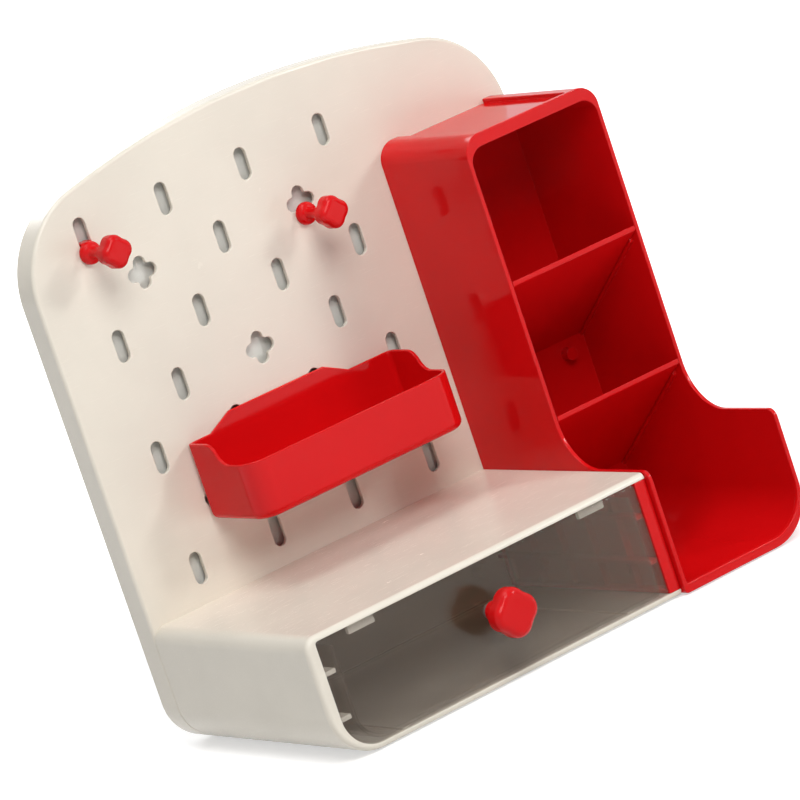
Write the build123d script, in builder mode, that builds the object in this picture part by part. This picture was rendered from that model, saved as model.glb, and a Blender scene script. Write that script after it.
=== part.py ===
from build123d import *
import math
import os

# Desk organizer: an arched pegboard that carries a low drawer cabinet on the left, a stepped
# tower of slanted compartments on the right, a hanging tray and two pegs.
# Millimetres, +Z up, the front faces -Y, X = 0 is the middle of the board and Z = 0 the desk.

# ---------------------------------------------------------------- pegboard
overall_width = 300.0
board_top = 302.0             # crown of the arch above the desk
board_depth = 16.0
board_plate = 2.6             # front plate of the board
board_rim = 2.4               # rim wall around it
board_edge_round = 2.0
arch_radius = 465.0
shoulder_radius = 50.0
foot_corner = 25.0            # lower outside corners of board, cabinet and tower

columns = 4
column_pitch = 50.0
column_margin = 37.0          # board's left edge to the first column
aligned_rows = 4
row_pitch = 60.0              # between rows of the same columns; staggered rows lie halfway
lowest_row_z = 85.5
slot_width = 7.0
slot_length = 17.0
clover_notch = 1.4            # rounding between the lobes of a clover hole

cover_thickness = 2.4
cover_recess = 7.6            # the cover lies this far inside the rim's back edge
cover_clearance = 0.3
cover_screw_rows = (66.0, 198.0)
cover_screw_edge = 2.5        # its side bosses from the rim
cover_screw_crown = 13.0      # its top boss below the crown
cover_screw_foot = 12.0       # its lowest boss above the board's lower edge

# ---------------------------------------------------------------- cabinet and drawer
cabinet_depth = 145.0
cabinet_top = 67.0
cabinet_wall = 2.6
cabinet_top_corner = 7.5
cabinet_front_round = 2.8
lip_depth = 4.0               # frame round the drawer mouth
lip_side = 6.2
lip_edge = 3.2
end_panel_width = 7.0
end_panel_wall = 2.4
dock_gap = 0.3                # between cabinet and tower

drawer_gap = 0.5              # round the drawer front, in the mouth
drawer_front_thickness = 3.0
drawer_wall = 2.0
drawer_height = 53.0
drawer_side_inset = 8.0       # box side inside the edge of the drawer front, on the left
drawer_dock_inset = 2.8       # the same on the right
drawer_corner = 16.0          # long lower left corner of the box
drawer_back_space = 14.5
drawer_hold = 25.0            # depth of the cabinet that the open drawer still uses
rail_height = 1.0
rail_width = 4.0
rail_from_left = 26.0         # rails in from the left side of the box
rail_from_dock = 20.0         # and from its right side
running_gap = 0.3
guide_gap = 0.5
guide_thickness = 2.4
guide_rows = (22.0, 46.0)     # heights of the side guides
stop_thickness = 2.6
stop_inset = 22.0             # stops in from the sides of the box
stop_width = 16.0
tab_width = 12.0
stop_overlap = 1.4            # how far the drawer's stop tabs reach behind the stop rib

knob_z = 37.5
knob_tip = 13.0               # centre to lobe tip
knob_lobe = 8.0
knob_softness = 14.0          # hollow sides between the lobes
knob_head_depth = 9.5
knob_stem_length = 12.5
knob_stem_diameter = 11.0

# ---------------------------------------------------------------- tower
tower_width = 85.7
tower_top = 246.0
tower_depth = 81.0
tower_wall = 2.3
tower_back = 2.4
tower_corner = 11.0
tower_base_depth = 148.0
tower_base_top = 67.5
tower_sweep = 25.0            # concave sweep from the upright edge to the base
tower_base_corner = 5.0
tower_top_drop = 2.3          # the top plate lies this far below its rim
tower_top_plate = 2.4
tower_top_margin = 15.0       # rim left at each side of the top
tower_lip_height = 7.0        # front edge of the top, rim to underside
tower_floor_lip = 5.0
divider_front_z = (169.0, 95.7)
divider_fall = 0.70           # drop per length towards the back
divider_thickness = 2.2
divider_clearance = 0.2
ledge_width = 2.0
ledge_thickness = 1.8

# ---------------------------------------------------------------- tray and pegs
tray_side_reach = 34.0        # tray's left side beyond its left hook
tray_width = 131.0
tray_depth = 54.0
tray_bottom = 105.0
tray_front_top = 135.0
tray_back_top = 146.0
tray_hook_top = 153.0         # raised middle of the back wall, above the hooks
tray_wall = 2.0
tray_front_corner = 12.0
tray_back_corner = 4.0
tray_bottom_round = 4.0
tray_shoulder = 17.0          # high part of the sides, from the back
tray_fall = 17.0              # length of the S down to the front's height
tray_hump_margin = 5.0        # high middle of the back beyond the hooks
tray_columns = (1, 2)         # board columns that its hooks use
tray_row = 1                  # aligned row, counted from the lowest
hanging_gap = 0.3
tongue_clearance = 0.4
tongue_height = 8.0
tongue_drop = 7.0             # the tongue's lip behind the plate reaches this far below it
tongue_thickness = 2.2

peg_base_diameter = 12.0
peg_base_thickness = 4.5
peg_base_edge = 0.6           # bevel round the seat
peg_dome_reach = 0.72         # share of the base's thickness at which its dome is widest
peg_dome_draw = 0.9           # how far the dome has drawn in there
peg_flare = 1.0               # where the dome meets the neck
peg_flare_length = 3.5
peg_head_root = 1.0           # neck runs this far into the head
peg_neck_diameter = 5.2
peg_length = 30.5
peg_head_tip = 8.7
peg_head_lobe = 5.2
peg_head_softness = 9.0
peg_head_depth = 9.0
left_peg_hole = (0, 3)        # column and aligned row
left_peg_drop = 10.0          # base centre below the hole's centre
right_peg_hole = (2.5, 2.5)
right_peg_drop = 6.4

# ---------------------------------------------------------------- screws and feet
screw_diameter = 2.8
screw_head_diameter = 5.6
screw_head_thickness = 1.8
screw_fit = 0.05              # radial
boss_diameter = 7.0
boss_wall = 2.0
pilot_depth = 8.0
screw_grip = 7.0              # thread in a boss
tower_boss = 5.5
pilot_end = 0.7               # pilot goes this much deeper than the screw
screw_inset = 16.0            # tower screws in from its sides
cabinet_screw_inset = 32.0    # cabinet screws in from its outer side
cabinet_screw_dock = 24.0     # and from the dock
screw_rows = (20.0, 48.0)
tower_screw_rows = (31.0, 104.0)
dock_screw_rows = (17.0, 51.0)
dock_screw_inset = 34.0
knob_screw_diameter = 4.0
foot_diameter = 12.0
foot_stand = 1.0              # feet lift the housings off the desk
foot_seat = 1.2
foot_from_corner = 34.0       # from the cabinet's outer side
foot_from_dock = 22.0         # from the cabinet's dock side
foot_from_tower = 36.0        # from the tower's outer side
foot_from_ends = 16.0         # from the front and the board

# ---------------------------------------------------------------- places worked out from them
drawer_travel = cabinet_depth - drawer_hold
knob_reach = knob_stem_length + knob_head_depth
total_depth = board_depth + cabinet_depth + knob_reach
board_y = total_depth / 2 - board_depth            # front face of the board
back_y = board_y + board_depth
base_z = foot_stand
left_x = -overall_width / 2
right_x = overall_width / 2
tower_left = right_x - tower_width
cabinet_right = tower_left - dock_gap
cabinet_front_y = board_y - cabinet_depth
tower_front_y = board_y - tower_depth
tower_base_y = board_y - tower_base_depth

mouth_left = left_x + lip_side
mouth_right = cabinet_right - end_panel_width
mouth_bottom = base_z + lip_edge
mouth_top = cabinet_top - lip_edge
mouth_corner = foot_corner - lip_side
floor_z = base_z + cabinet_wall
rail_top = floor_z + rail_height
box_left = mouth_left + drawer_gap + drawer_side_inset
box_right = mouth_right - drawer_gap - drawer_dock_inset
box_bottom = rail_top + running_gap
box_top = box_bottom + drawer_height
panel_back_y = cabinet_front_y + drawer_front_thickness
box_back_y = board_y - drawer_back_space
ceiling_z = cabinet_top - cabinet_wall
stop_front_y = box_back_y - drawer_wall - drawer_travel - running_gap - stop_thickness
knob_x = (mouth_left + mouth_right) / 2


def front_plane(y):
    """Upright plane at this Y that faces the front; its own axes are X and Z."""
    return Plane.XZ.offset(-y)


def rear_plane(y):
    """Upright plane at this Y that faces the back; its first axis runs towards -X."""
    return Plane(origin=(0, y, 0), x_dir=(-1, 0, 0), z_dir=(0, 1, 0))


def side_plane(x):
    """Upright plane at this X that faces +X; its own axes are Y and Z."""
    return Plane.YZ.offset(x)


def rounded_frame(x0, x1, z0, z1, top_left=0, top_right=0, low_right=0, low_left=0):
    """Rectangle in the current sketch with its own radius at each corner."""
    with Locations(((x0 + x1) / 2, (z0 + z1) / 2)):
        Rectangle(x1 - x0, z1 - z0)
    corners = ((x0, z1, top_left), (x1, z1, top_right), (x1, z0, low_right), (x0, z0, low_left))
    for x, z, radius in corners:
        if radius > 0:
            fillet(vertices().sort_by_distance((x, z, 0))[0], radius=radius)


def board_outline(inset):
    """Edges of the board's arched outline, moved inwards by inset all round."""
    half = overall_width / 2 - inset
    low = base_z + inset
    foot_x = overall_width / 2 - foot_corner
    foot_z = base_z + foot_corner
    foot_r = foot_corner - inset
    arch_z = board_top - arch_radius
    arch_r = arch_radius - inset
    shoulder_x = overall_width / 2 - shoulder_radius
    reach = arch_radius - shoulder_radius
    shoulder_z = arch_z + math.sqrt(reach**2 - shoulder_x**2)
    shoulder_r = shoulder_radius - inset
    join_angle = math.atan2(shoulder_z - arch_z, shoulder_x)
    join_x = arch_r * math.cos(join_angle)
    join_z = arch_z + arch_r * math.sin(join_angle)
    mid_angle = join_angle / 2
    mid_x = shoulder_x + shoulder_r * math.cos(mid_angle)
    mid_z = shoulder_z + shoulder_r * math.sin(mid_angle)
    eighth = foot_r * math.sqrt(0.5)
    with BuildLine() as outline:
        Line((-foot_x, low), (foot_x, low))
        ThreePointArc((foot_x, low), (foot_x + eighth, foot_z - eighth), (half, foot_z))
        Line((half, foot_z), (half, shoulder_z))
        ThreePointArc((half, shoulder_z), (mid_x, mid_z), (join_x, join_z))
        ThreePointArc((join_x, join_z), (0, arch_z + arch_r), (-join_x, join_z))
        ThreePointArc((-join_x, join_z), (-mid_x, mid_z), (-half, shoulder_z))
        Line((-half, shoulder_z), (-half, foot_z))
        ThreePointArc((-half, foot_z), (-foot_x - eighth, foot_z - eighth), (-foot_x, low))
    return outline.edges()


def hole_place(column, row):
    """Centre of a board hole; half numbers are the staggered rows."""
    return left_x + column_margin + column * column_pitch, lowest_row_z + row * row_pitch


def slot_places():
    """Centres of the plain upright slots."""
    places = [hole_place(c, r) for c in range(columns) for r in range(aligned_rows)]
    for row in range(aligned_rows - 1):
        for column in range(columns - 1):
            if (row + column) % 2 == 1:
                places.append(hole_place(column + 0.5, row + 0.5))
    return places


def clover_places():
    """Centres of the four-lobed holes, which take turns with slots in the staggered rows."""
    places = []
    for row in range(aligned_rows - 1):
        for column in range(columns - 1):
            if (row + column) % 2 == 0:
                places.append(hole_place(column + 0.5, row + 0.5))
    return places


# screw places, as X and Z
cover_screw_x = overall_width / 2 - board_rim - boss_diameter - cover_screw_edge
cover_screw_places = [(side * cover_screw_x, z) for side in (-1, 1) for z in cover_screw_rows]
cover_screw_places += [(0.0, board_top - cover_screw_crown), (0.0, base_z + cover_screw_foot)]
cabinet_screw_columns = (left_x + cabinet_screw_inset, cabinet_right - cabinet_screw_dock)
cabinet_screw_places = [(x, z) for x in cabinet_screw_columns for z in screw_rows]
tower_screw_columns = (tower_left + screw_inset, right_x - screw_inset)
tower_screw_heights = (*tower_screw_rows, tower_top - screw_inset)
tower_screw_places = [(x, z) for x in tower_screw_columns for z in tower_screw_heights]

# the cover's screws end in the plate, short of the board's face
cover_pilot = board_depth - cover_recess - cover_thickness - board_plate / 2

# ---------------------------------------------------------------- pegboard panel
with BuildPart() as pegboard_panel:
    with BuildSketch(front_plane(back_y)):
        make_face(board_outline(0))
    extrude(amount=board_depth)
    fillet(faces().sort_by(Axis.Y)[0].edges(), radius=board_edge_round)
    with BuildSketch(front_plane(back_y)):
        make_face(board_outline(board_rim))
    extrude(amount=board_depth - board_plate, mode=Mode.SUBTRACT)
    # bosses that carry the back cover, and those that take the tower's screws
    with BuildSketch(rear_plane(board_y + board_plate)):
        with Locations(*[(-x, z) for x, z in cover_screw_places]):
            Circle(boss_diameter / 2)
    extrude(amount=board_depth - board_plate - cover_recess - cover_thickness)
    with BuildSketch(rear_plane(back_y - cover_recess - cover_thickness)):
        with Locations(*[(-x, z) for x, z in cover_screw_places]):
            Circle(screw_diameter / 2 + screw_fit)
    extrude(amount=-cover_pilot, mode=Mode.SUBTRACT)
    with BuildSketch(front_plane(board_y)):
        with Locations(*slot_places()):
            SlotOverall(slot_length, slot_width, rotation=90)
    extrude(amount=-board_plate, mode=Mode.SUBTRACT)
    with BuildSketch(front_plane(board_y)):
        with Locations(*cabinet_screw_places, *tower_screw_places):
            Circle(screw_diameter / 2 + screw_fit)
    extrude(amount=-board_plate, mode=Mode.SUBTRACT)
    for clover_x, clover_z in clover_places():
        with BuildSketch(front_plane(board_y)):
            with Locations((clover_x, clover_z)):
                SlotOverall(slot_length, slot_width)
                SlotOverall(slot_length, slot_width, rotation=90)
            inner = vertices().sort_by_distance((clover_x, clover_z, 0))[:4]
            fillet(inner, radius=clover_notch)
        extrude(amount=-board_plate, mode=Mode.SUBTRACT)

# ---------------------------------------------------------------- back cover
cover_face_y = back_y - cover_recess
with BuildPart() as back_cover:
    with BuildSketch(front_plane(cover_face_y)):
        make_face(board_outline(board_rim + cover_clearance))
    extrude(amount=cover_thickness)
    with BuildSketch(rear_plane(cover_face_y)):
        with Locations(*[(-x, z) for x, z in cover_screw_places]):
            Circle(screw_head_diameter / 2 + screw_fit * 4)
    extrude(amount=-cover_thickness / 2, mode=Mode.SUBTRACT)
    with BuildSketch(rear_plane(cover_face_y)):
        with Locations(*[(-x, z) for x, z in cover_screw_places]):
            Circle(screw_diameter / 2 + screw_fit)
    extrude(amount=-cover_thickness, mode=Mode.SUBTRACT)


def screw_group(places, seat_y, head_thickness, shank_length):
    """Screws seen from the back: heads behind seat_y, shanks towards the front."""
    with BuildPart() as group:
        with BuildSketch(rear_plane(seat_y)):
            with Locations(*[(-x, z) for x, z in places]):
                Circle(screw_head_diameter / 2)
        extrude(amount=head_thickness)
        with BuildSketch(rear_plane(seat_y)):
            with Locations(*[(-x, z) for x, z in places]):
                Circle(screw_diameter / 2)
        extrude(amount=-shank_length)
    return group.part


cover_screws = screw_group(
    cover_screw_places,
    cover_face_y - cover_thickness / 2,
    cover_thickness / 2 - screw_fit,
    cover_thickness / 2 + cover_pilot - pilot_end,
)
cabinet_screws = screw_group(
    cabinet_screw_places,
    board_y + board_plate,
    screw_head_thickness,
    board_plate + cabinet_wall + screw_grip,
)
tower_screws = screw_group(
    tower_screw_places,
    board_y + board_plate,
    screw_head_thickness,
    board_plate + tower_back + tower_boss - 2 * pilot_end,
)

# ---------------------------------------------------------------- cabinet shell
foot_x_places = (left_x + foot_from_corner, cabinet_right - foot_from_dock, right_x - foot_from_tower)
cabinet_foot_y = {"front": cabinet_front_y + foot_from_ends, "rear": board_y - foot_from_ends}
tower_foot_y = {"front": tower_base_y + foot_from_ends, "rear": board_y - foot_from_ends}
stop_x_places = (box_left + stop_inset, box_right - stop_inset)

with BuildPart() as cabinet_shell:
    with BuildSketch(front_plane(board_y)):
        rounded_frame(
            left_x, cabinet_right, base_z, cabinet_top,
            top_left=cabinet_top_corner, low_left=foot_corner,
        )
    extrude(amount=cabinet_depth)
    front_edges = faces().sort_by(Axis.Y)[0].edges()
    dock_edge = front_edges.sort_by(Axis.X)[-1]
    fillet([edge for edge in front_edges if edge != dock_edge], radius=cabinet_front_round)
    # hollow behind the lip, open at the dock end
    with BuildSketch(front_plane(board_y - cabinet_wall)):
        rounded_frame(
            left_x + cabinet_wall, cabinet_right + 1, floor_z, ceiling_z,
            top_left=cabinet_top_corner - cabinet_wall, low_left=foot_corner - cabinet_wall,
        )
    extrude(amount=cabinet_depth - cabinet_wall - lip_depth, mode=Mode.SUBTRACT)
    with BuildSketch(front_plane(cabinet_front_y + lip_depth)):
        rounded_frame(
            mouth_left, cabinet_right + 1, mouth_bottom, mouth_top,
            top_left=cabinet_top_corner - lip_side + drawer_gap, low_left=mouth_corner,
        )
    extrude(amount=lip_depth, mode=Mode.SUBTRACT)
    # floor rails under the drawer
    rail_length = cabinet_depth - cabinet_wall - lip_depth
    for rail_x in (box_left + rail_from_left, box_right - rail_from_dock):
        with BuildSketch(front_plane(board_y - cabinet_wall)):
            with Locations((rail_x, floor_z + rail_height / 2)):
                Rectangle(rail_width, rail_height)
        extrude(amount=rail_length)
    # side guides
    guide_left = left_x + cabinet_wall
    guide_right = box_left - guide_gap
    for guide_z in guide_rows:
        with BuildSketch(front_plane(board_y - cabinet_wall)):
            with Locations(((guide_left + guide_right) / 2, guide_z)):
                Rectangle(guide_right - guide_left, guide_thickness)
        extrude(amount=rail_length)
    # bosses for the screws from the board
    with BuildSketch(front_plane(board_y - cabinet_wall)):
        with Locations(*cabinet_screw_places):
            Circle(boss_diameter / 2)
    extrude(amount=pilot_depth + pilot_end)
    with BuildSketch(front_plane(board_y)):
        with Locations(*cabinet_screw_places):
            Circle(screw_diameter / 2 + screw_fit)
    extrude(amount=cabinet_wall + pilot_depth, mode=Mode.SUBTRACT)
    # stop rib under the ceiling, for the tabs at the back of the drawer
    stop_bottom = box_top + running_gap
    with BuildSketch(front_plane(stop_front_y + stop_thickness)):
        for stop_x in stop_x_places:
            with Locations((stop_x, (stop_bottom + ceiling_z) / 2)):
                Rectangle(stop_width, ceiling_z - stop_bottom)
    extrude(amount=stop_thickness)
    # seats for the rubber feet
    with BuildSketch(Plane.XY.offset(base_z)):
        with Locations(*[(x, y) for x in foot_x_places[:2] for y in cabinet_foot_y.values()]):
            Circle(foot_diameter / 2 + screw_fit)
    extrude(amount=foot_seat, mode=Mode.SUBTRACT)

# ---------------------------------------------------------------- end panel at the dock
panel_low = mouth_bottom
panel_high = mouth_top
panel_mid = (panel_low + panel_high) / 2
panel_depth = cabinet_depth - cabinet_wall
dock_screw_y = (board_y - dock_screw_inset, cabinet_front_y + dock_screw_inset)
dock_screw_places = [(y, z) for y in dock_screw_y for z in dock_screw_rows]

with BuildPart() as end_panel:
    with BuildSketch(side_plane(mouth_right)):
        with Locations(((cabinet_front_y + board_y - cabinet_wall) / 2, panel_mid)):
            Rectangle(panel_depth, panel_high - panel_low)
    extrude(amount=end_panel_width)
    fillet(faces().sort_by(Axis.Y)[0].edges().filter_by(Axis.Z), radius=0.8)
    with BuildSketch(side_plane(mouth_right)):
        with Locations(((cabinet_front_y + board_y - cabinet_wall) / 2, panel_mid)):
            Rectangle(panel_depth - 2 * end_panel_wall, panel_high - panel_low - 2 * end_panel_wall)
    extrude(amount=end_panel_width - end_panel_wall, mode=Mode.SUBTRACT)
    # upright ribs and screw bosses inside the channel
    with BuildSketch(side_plane(cabinet_right - end_panel_wall)):
        for rib in range(1, 5):
            rib_y = cabinet_front_y + rib * panel_depth / 5
            with Locations((rib_y, panel_mid)):
                Rectangle(1.6, panel_high - panel_low - end_panel_wall)
    extrude(amount=-(end_panel_width - end_panel_wall - 0.6))
    with BuildSketch(side_plane(cabinet_right - end_panel_wall)):
        with Locations(*dock_screw_places):
            Circle(boss_diameter / 2)
    extrude(amount=-(end_panel_width - end_panel_wall - 0.6))
    with BuildSketch(side_plane(cabinet_right)):
        with Locations(*dock_screw_places):
            Circle(screw_diameter / 2 + screw_fit)
    extrude(amount=-(end_panel_width - 1.4), mode=Mode.SUBTRACT)
    # guides beside the drawer
    guide_tip = box_right + guide_gap
    for guide_z in guide_rows:
        with BuildSketch(front_plane(board_y - cabinet_wall)):
            with Locations(((guide_tip + mouth_right + end_panel_wall) / 2, guide_z)):
                Rectangle(mouth_right + end_panel_wall - guide_tip, guide_thickness)
        extrude(amount=rail_length - 2.0)

# ---------------------------------------------------------------- tower shell
tower_inner_left = tower_left + tower_wall
tower_inner_right = right_x - tower_wall
tower_floor = base_z + tower_wall
top_underside = tower_top - tower_top_drop - tower_top_plate
lip_underside = tower_top - tower_lip_height
inner_corner = tower_corner - tower_wall
inner_foot = foot_corner - tower_wall
lip_y = tower_front_y + tower_wall
floor_lip_y = tower_base_y + tower_wall

with BuildPart() as tower_shell:
    with BuildSketch(front_plane(board_y)):
        rounded_frame(
            tower_left, right_x, base_z, tower_top,
            top_left=tower_corner, top_right=tower_corner, low_right=foot_corner, low_left=2.0,
        )
    extrude(amount=tower_base_depth)
    # side profile: upright edge, concave sweep, level base edge
    sweep_y = tower_front_y - tower_sweep
    sweep_z = tower_base_top + tower_sweep
    bend = tower_sweep * math.sqrt(0.5)
    nose = tower_base_corner * (1 - math.sqrt(0.5))
    with BuildSketch(side_plane(tower_left)):
        with BuildLine():
            Line((board_y, base_z), (board_y, tower_top))
            Line((board_y, tower_top), (tower_front_y, tower_top))
            Line((tower_front_y, tower_top), (tower_front_y, sweep_z))
            ThreePointArc(
                (tower_front_y, sweep_z),
                (sweep_y + bend, sweep_z - bend),
                (sweep_y, tower_base_top),
            )
            Line((sweep_y, tower_base_top), (tower_base_y + tower_base_corner, tower_base_top))
            ThreePointArc(
                (tower_base_y + tower_base_corner, tower_base_top),
                (tower_base_y + nose, tower_base_top - nose),
                (tower_base_y, tower_base_top - tower_base_corner),
            )
            Line((tower_base_y, tower_base_top - tower_base_corner), (tower_base_y, base_z))
            Line((tower_base_y, base_z), (board_y, base_z))
        make_face()
    extrude(amount=tower_width, mode=Mode.INTERSECT)
    # hollow up to the front edge of the top, then the mouth under it, then over the floor lip
    hollows = (
        (board_y - tower_back, lip_y, tower_floor, top_underside),
        (lip_y, floor_lip_y, tower_floor, lip_underside),
        (floor_lip_y, tower_base_y, base_z + tower_floor_lip, lip_underside),
    )
    for start_y, end_y, low_z, high_z in hollows:
        with BuildSketch(front_plane(start_y)):
            rounded_frame(
                tower_inner_left, tower_inner_right, low_z, high_z,
                top_left=inner_corner, top_right=inner_corner, low_right=inner_foot, low_left=1.0,
            )
        extrude(amount=start_y - end_y, mode=Mode.SUBTRACT)
    # shallow recess in the top, open at the board
    with BuildSketch(Plane.XY.offset(tower_top)):
        rounded_frame(
            tower_left + tower_top_margin, right_x - tower_top_margin, lip_y, board_y,
            low_left=3.0, low_right=3.0,
        )
    extrude(amount=-tower_top_drop, mode=Mode.SUBTRACT)
    # ledges that carry the dividers
    for front_z in divider_front_z:
        back_z = front_z - divider_fall * (tower_depth - tower_back)
        under = divider_thickness * math.sqrt(1 + divider_fall**2)
        ledge = ledge_thickness * math.sqrt(1 + divider_fall**2)
        ledge_front = tower_front_y + 6.0
        ledge_front_z = front_z - 6.0 * divider_fall - under
        for wall_x, out in ((tower_inner_left, 1), (tower_inner_right, -1)):
            with BuildSketch(side_plane(wall_x)):
                with BuildLine():
                    Polyline(
                        (ledge_front, ledge_front_z),
                        (board_y - tower_back, back_z - under),
                        (board_y - tower_back, back_z - under - ledge),
                        (ledge_front, ledge_front_z - ledge),
                        close=True,
                    )
                make_face()
            extrude(amount=out * ledge_width)
    # bosses for the screws from the board
    with BuildSketch(front_plane(board_y - tower_back)):
        with Locations(*tower_screw_places):
            Circle(boss_diameter / 2)
    extrude(amount=tower_boss)
    with BuildSketch(front_plane(board_y)):
        with Locations(*tower_screw_places):
            Circle(screw_diameter / 2 + screw_fit)
    extrude(amount=tower_back + tower_boss - pilot_end, mode=Mode.SUBTRACT)
    # holes for the dock screws, and the seats of the rubber feet
    with BuildSketch(side_plane(tower_left)):
        with Locations(*dock_screw_places):
            Circle(screw_diameter / 2 + screw_fit)
    extrude(amount=tower_wall, mode=Mode.SUBTRACT)
    with BuildSketch(Plane.XY.offset(base_z)):
        with Locations(*[(foot_x_places[2], y) for y in tower_foot_y.values()]):
            Circle(foot_diameter / 2 + screw_fit)
    extrude(amount=foot_seat, mode=Mode.SUBTRACT)

with BuildPart() as dock_screws:
    with BuildSketch(side_plane(tower_inner_left)):
        with Locations(*dock_screw_places):
            Circle(screw_head_diameter / 2)
    extrude(amount=screw_head_thickness)
    with BuildSketch(side_plane(tower_inner_left)):
        with Locations(*dock_screw_places):
            Circle(screw_diameter / 2)
    extrude(amount=-(tower_wall + dock_gap + end_panel_width - 1.8))


def divider(front_z):
    """Slanted plate between the tower's sides, from its front edge down to the back wall."""
    back_edge = board_y - tower_back
    back_z = front_z - divider_fall * (back_edge - tower_front_y)
    under = divider_thickness * math.sqrt(1 + divider_fall**2)
    with BuildPart() as plate:
        with BuildSketch(side_plane(tower_inner_left + divider_clearance)):
            with BuildLine():
                Polyline(
                    (tower_front_y, front_z),
                    (back_edge, back_z),
                    (back_edge, back_z - under),
                    (tower_front_y, front_z - under),
                    close=True,
                )
            make_face()
        extrude(amount=tower_inner_right - tower_inner_left - 2 * divider_clearance)
        fillet(edges().filter_by(Axis.X).sort_by(Axis.Z)[-1], radius=divider_thickness / 4)
    return plate.part


upper_divider = divider(divider_front_z[0])
lower_divider = divider(divider_front_z[1])

# ---------------------------------------------------------------- drawer
with BuildPart() as drawer_front:
    with BuildSketch(front_plane(panel_back_y)):
        rounded_frame(
            mouth_left + drawer_gap, mouth_right - drawer_gap,
            mouth_bottom + drawer_gap, mouth_top - drawer_gap,
            top_left=1.5, top_right=1.5, low_right=1.5, low_left=mouth_corner - drawer_gap,
        )
    extrude(amount=drawer_front_thickness)
    fillet(faces().sort_by(Axis.Y)[0].edges(), radius=0.6)
    with BuildSketch(front_plane(panel_back_y)):
        with Locations((knob_x, knob_z)):
            Circle(knob_screw_diameter / 2 + screw_fit)
    extrude(amount=drawer_front_thickness, mode=Mode.SUBTRACT)

box_depth = box_back_y - panel_back_y
with BuildPart() as drawer_box:
    with BuildSketch(front_plane(box_back_y)):
        rounded_frame(box_left, box_right, box_bottom, box_top, low_left=drawer_corner, low_right=2.5)
    extrude(amount=box_depth)
    with BuildSketch(front_plane(box_back_y - drawer_wall)):
        rounded_frame(
            box_left + drawer_wall, box_right - drawer_wall, box_bottom + drawer_wall, box_top + 1,
            low_left=drawer_corner - drawer_wall, low_right=1.0,
        )
    extrude(amount=box_depth - drawer_wall, mode=Mode.SUBTRACT)
    # stop tabs that stand up from the back wall
    with BuildSketch(front_plane(box_back_y)):
        for stop_x in stop_x_places:
            with Locations((stop_x, box_top + (running_gap + stop_overlap) / 2)):
                Rectangle(tab_width, running_gap + stop_overlap)
    extrude(amount=drawer_wall)


def lobed_outline(tip, lobe, softness):
    """Four soft lobes at the top, bottom and sides of a rounded square."""
    with PolarLocations(tip - lobe, 4):
        Circle(lobe)
    Circle(tip - lobe)
    notches = vertices().group_by(lambda v: round(math.hypot(v.X, v.Y), 2))[-1]
    fillet(notches, radius=softness)


knob_pilot = 10.0
knob_back_y = cabinet_front_y
with BuildPart() as drawer_knob:
    knob_seat = Plane(origin=(knob_x, knob_back_y, knob_z), x_dir=(1, 0, 0), z_dir=(0, -1, 0))
    with BuildSketch(knob_seat):
        Circle(knob_stem_diameter / 2)
    extrude(amount=knob_stem_length + 1)
    fillet(faces().sort_by(Axis.Y)[-1].edges(), radius=0.5)
    with BuildSketch(knob_seat.offset(knob_stem_length)):
        lobed_outline(knob_tip, knob_lobe, knob_softness)
    extrude(amount=knob_head_depth)
    head_rims = faces().filter_by(Axis.Y).sort_by(Axis.Y)
    fillet(head_rims[0].edges(), radius=knob_head_depth * 0.42)
    with BuildSketch(knob_seat):
        Circle(knob_screw_diameter / 2 + screw_fit)
    extrude(amount=knob_pilot, mode=Mode.SUBTRACT)

with BuildPart() as knob_screw:
    screw_seat = Plane(origin=(knob_x, panel_back_y, knob_z), x_dir=(1, 0, 0), z_dir=(0, -1, 0))
    with BuildSketch(screw_seat):
        Circle(knob_screw_diameter)
    extrude(amount=-2.4)
    fillet(faces().sort_by(Axis.Y)[-1].edges(), radius=1.0)
    with BuildSketch(screw_seat):
        Circle(knob_screw_diameter / 2)
    extrude(amount=drawer_front_thickness + knob_pilot - 1.0)


def hanging_tongues(places, face_y):
    """Tongues through the board's holes, each with a lip that drops behind the plate.

    places holds, for each tongue, its X and the centre height of the hole it hangs in.
    """
    width = slot_width - 2 * tongue_clearance
    plate_back = board_y + board_plate + hanging_gap
    with BuildPart() as tongues:
        for x, z in places:
            low = z - slot_length / 2 + tongue_clearance
            with BuildSketch(rear_plane(face_y)):
                with Locations((-x, low + tongue_height / 2)):
                    SlotOverall(tongue_height, width, rotation=90)
            extrude(amount=plate_back + tongue_thickness - face_y)
            with BuildSketch(rear_plane(plate_back)):
                with Locations((-x, low + (tongue_height - tongue_drop) / 2)):
                    SlotOverall(tongue_height + tongue_drop, width, rotation=90)
            extrude(amount=tongue_thickness)
    return tongues.part


# ---------------------------------------------------------------- hanging tray
hook_places = [hole_place(column, tray_row) for column in tray_columns]
tray_back_y = board_y - hanging_gap
tray_front_y = tray_back_y - tray_depth
tray_left = hook_places[0][0] - tray_side_reach
tray_right = tray_left + tray_width
tray_tongues = hanging_tongues(hook_places, tray_back_y - tray_wall / 2)


def tray_plan(inset):
    """Plan of the tray with large front corners, as a face in the current sketch."""
    rounded_frame(
        tray_left + inset, tray_right - inset, tray_front_y + inset, tray_back_y - inset,
        top_left=tray_back_corner - inset, top_right=tray_back_corner - inset,
        low_right=tray_front_corner - inset, low_left=tray_front_corner - inset,
    )


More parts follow.
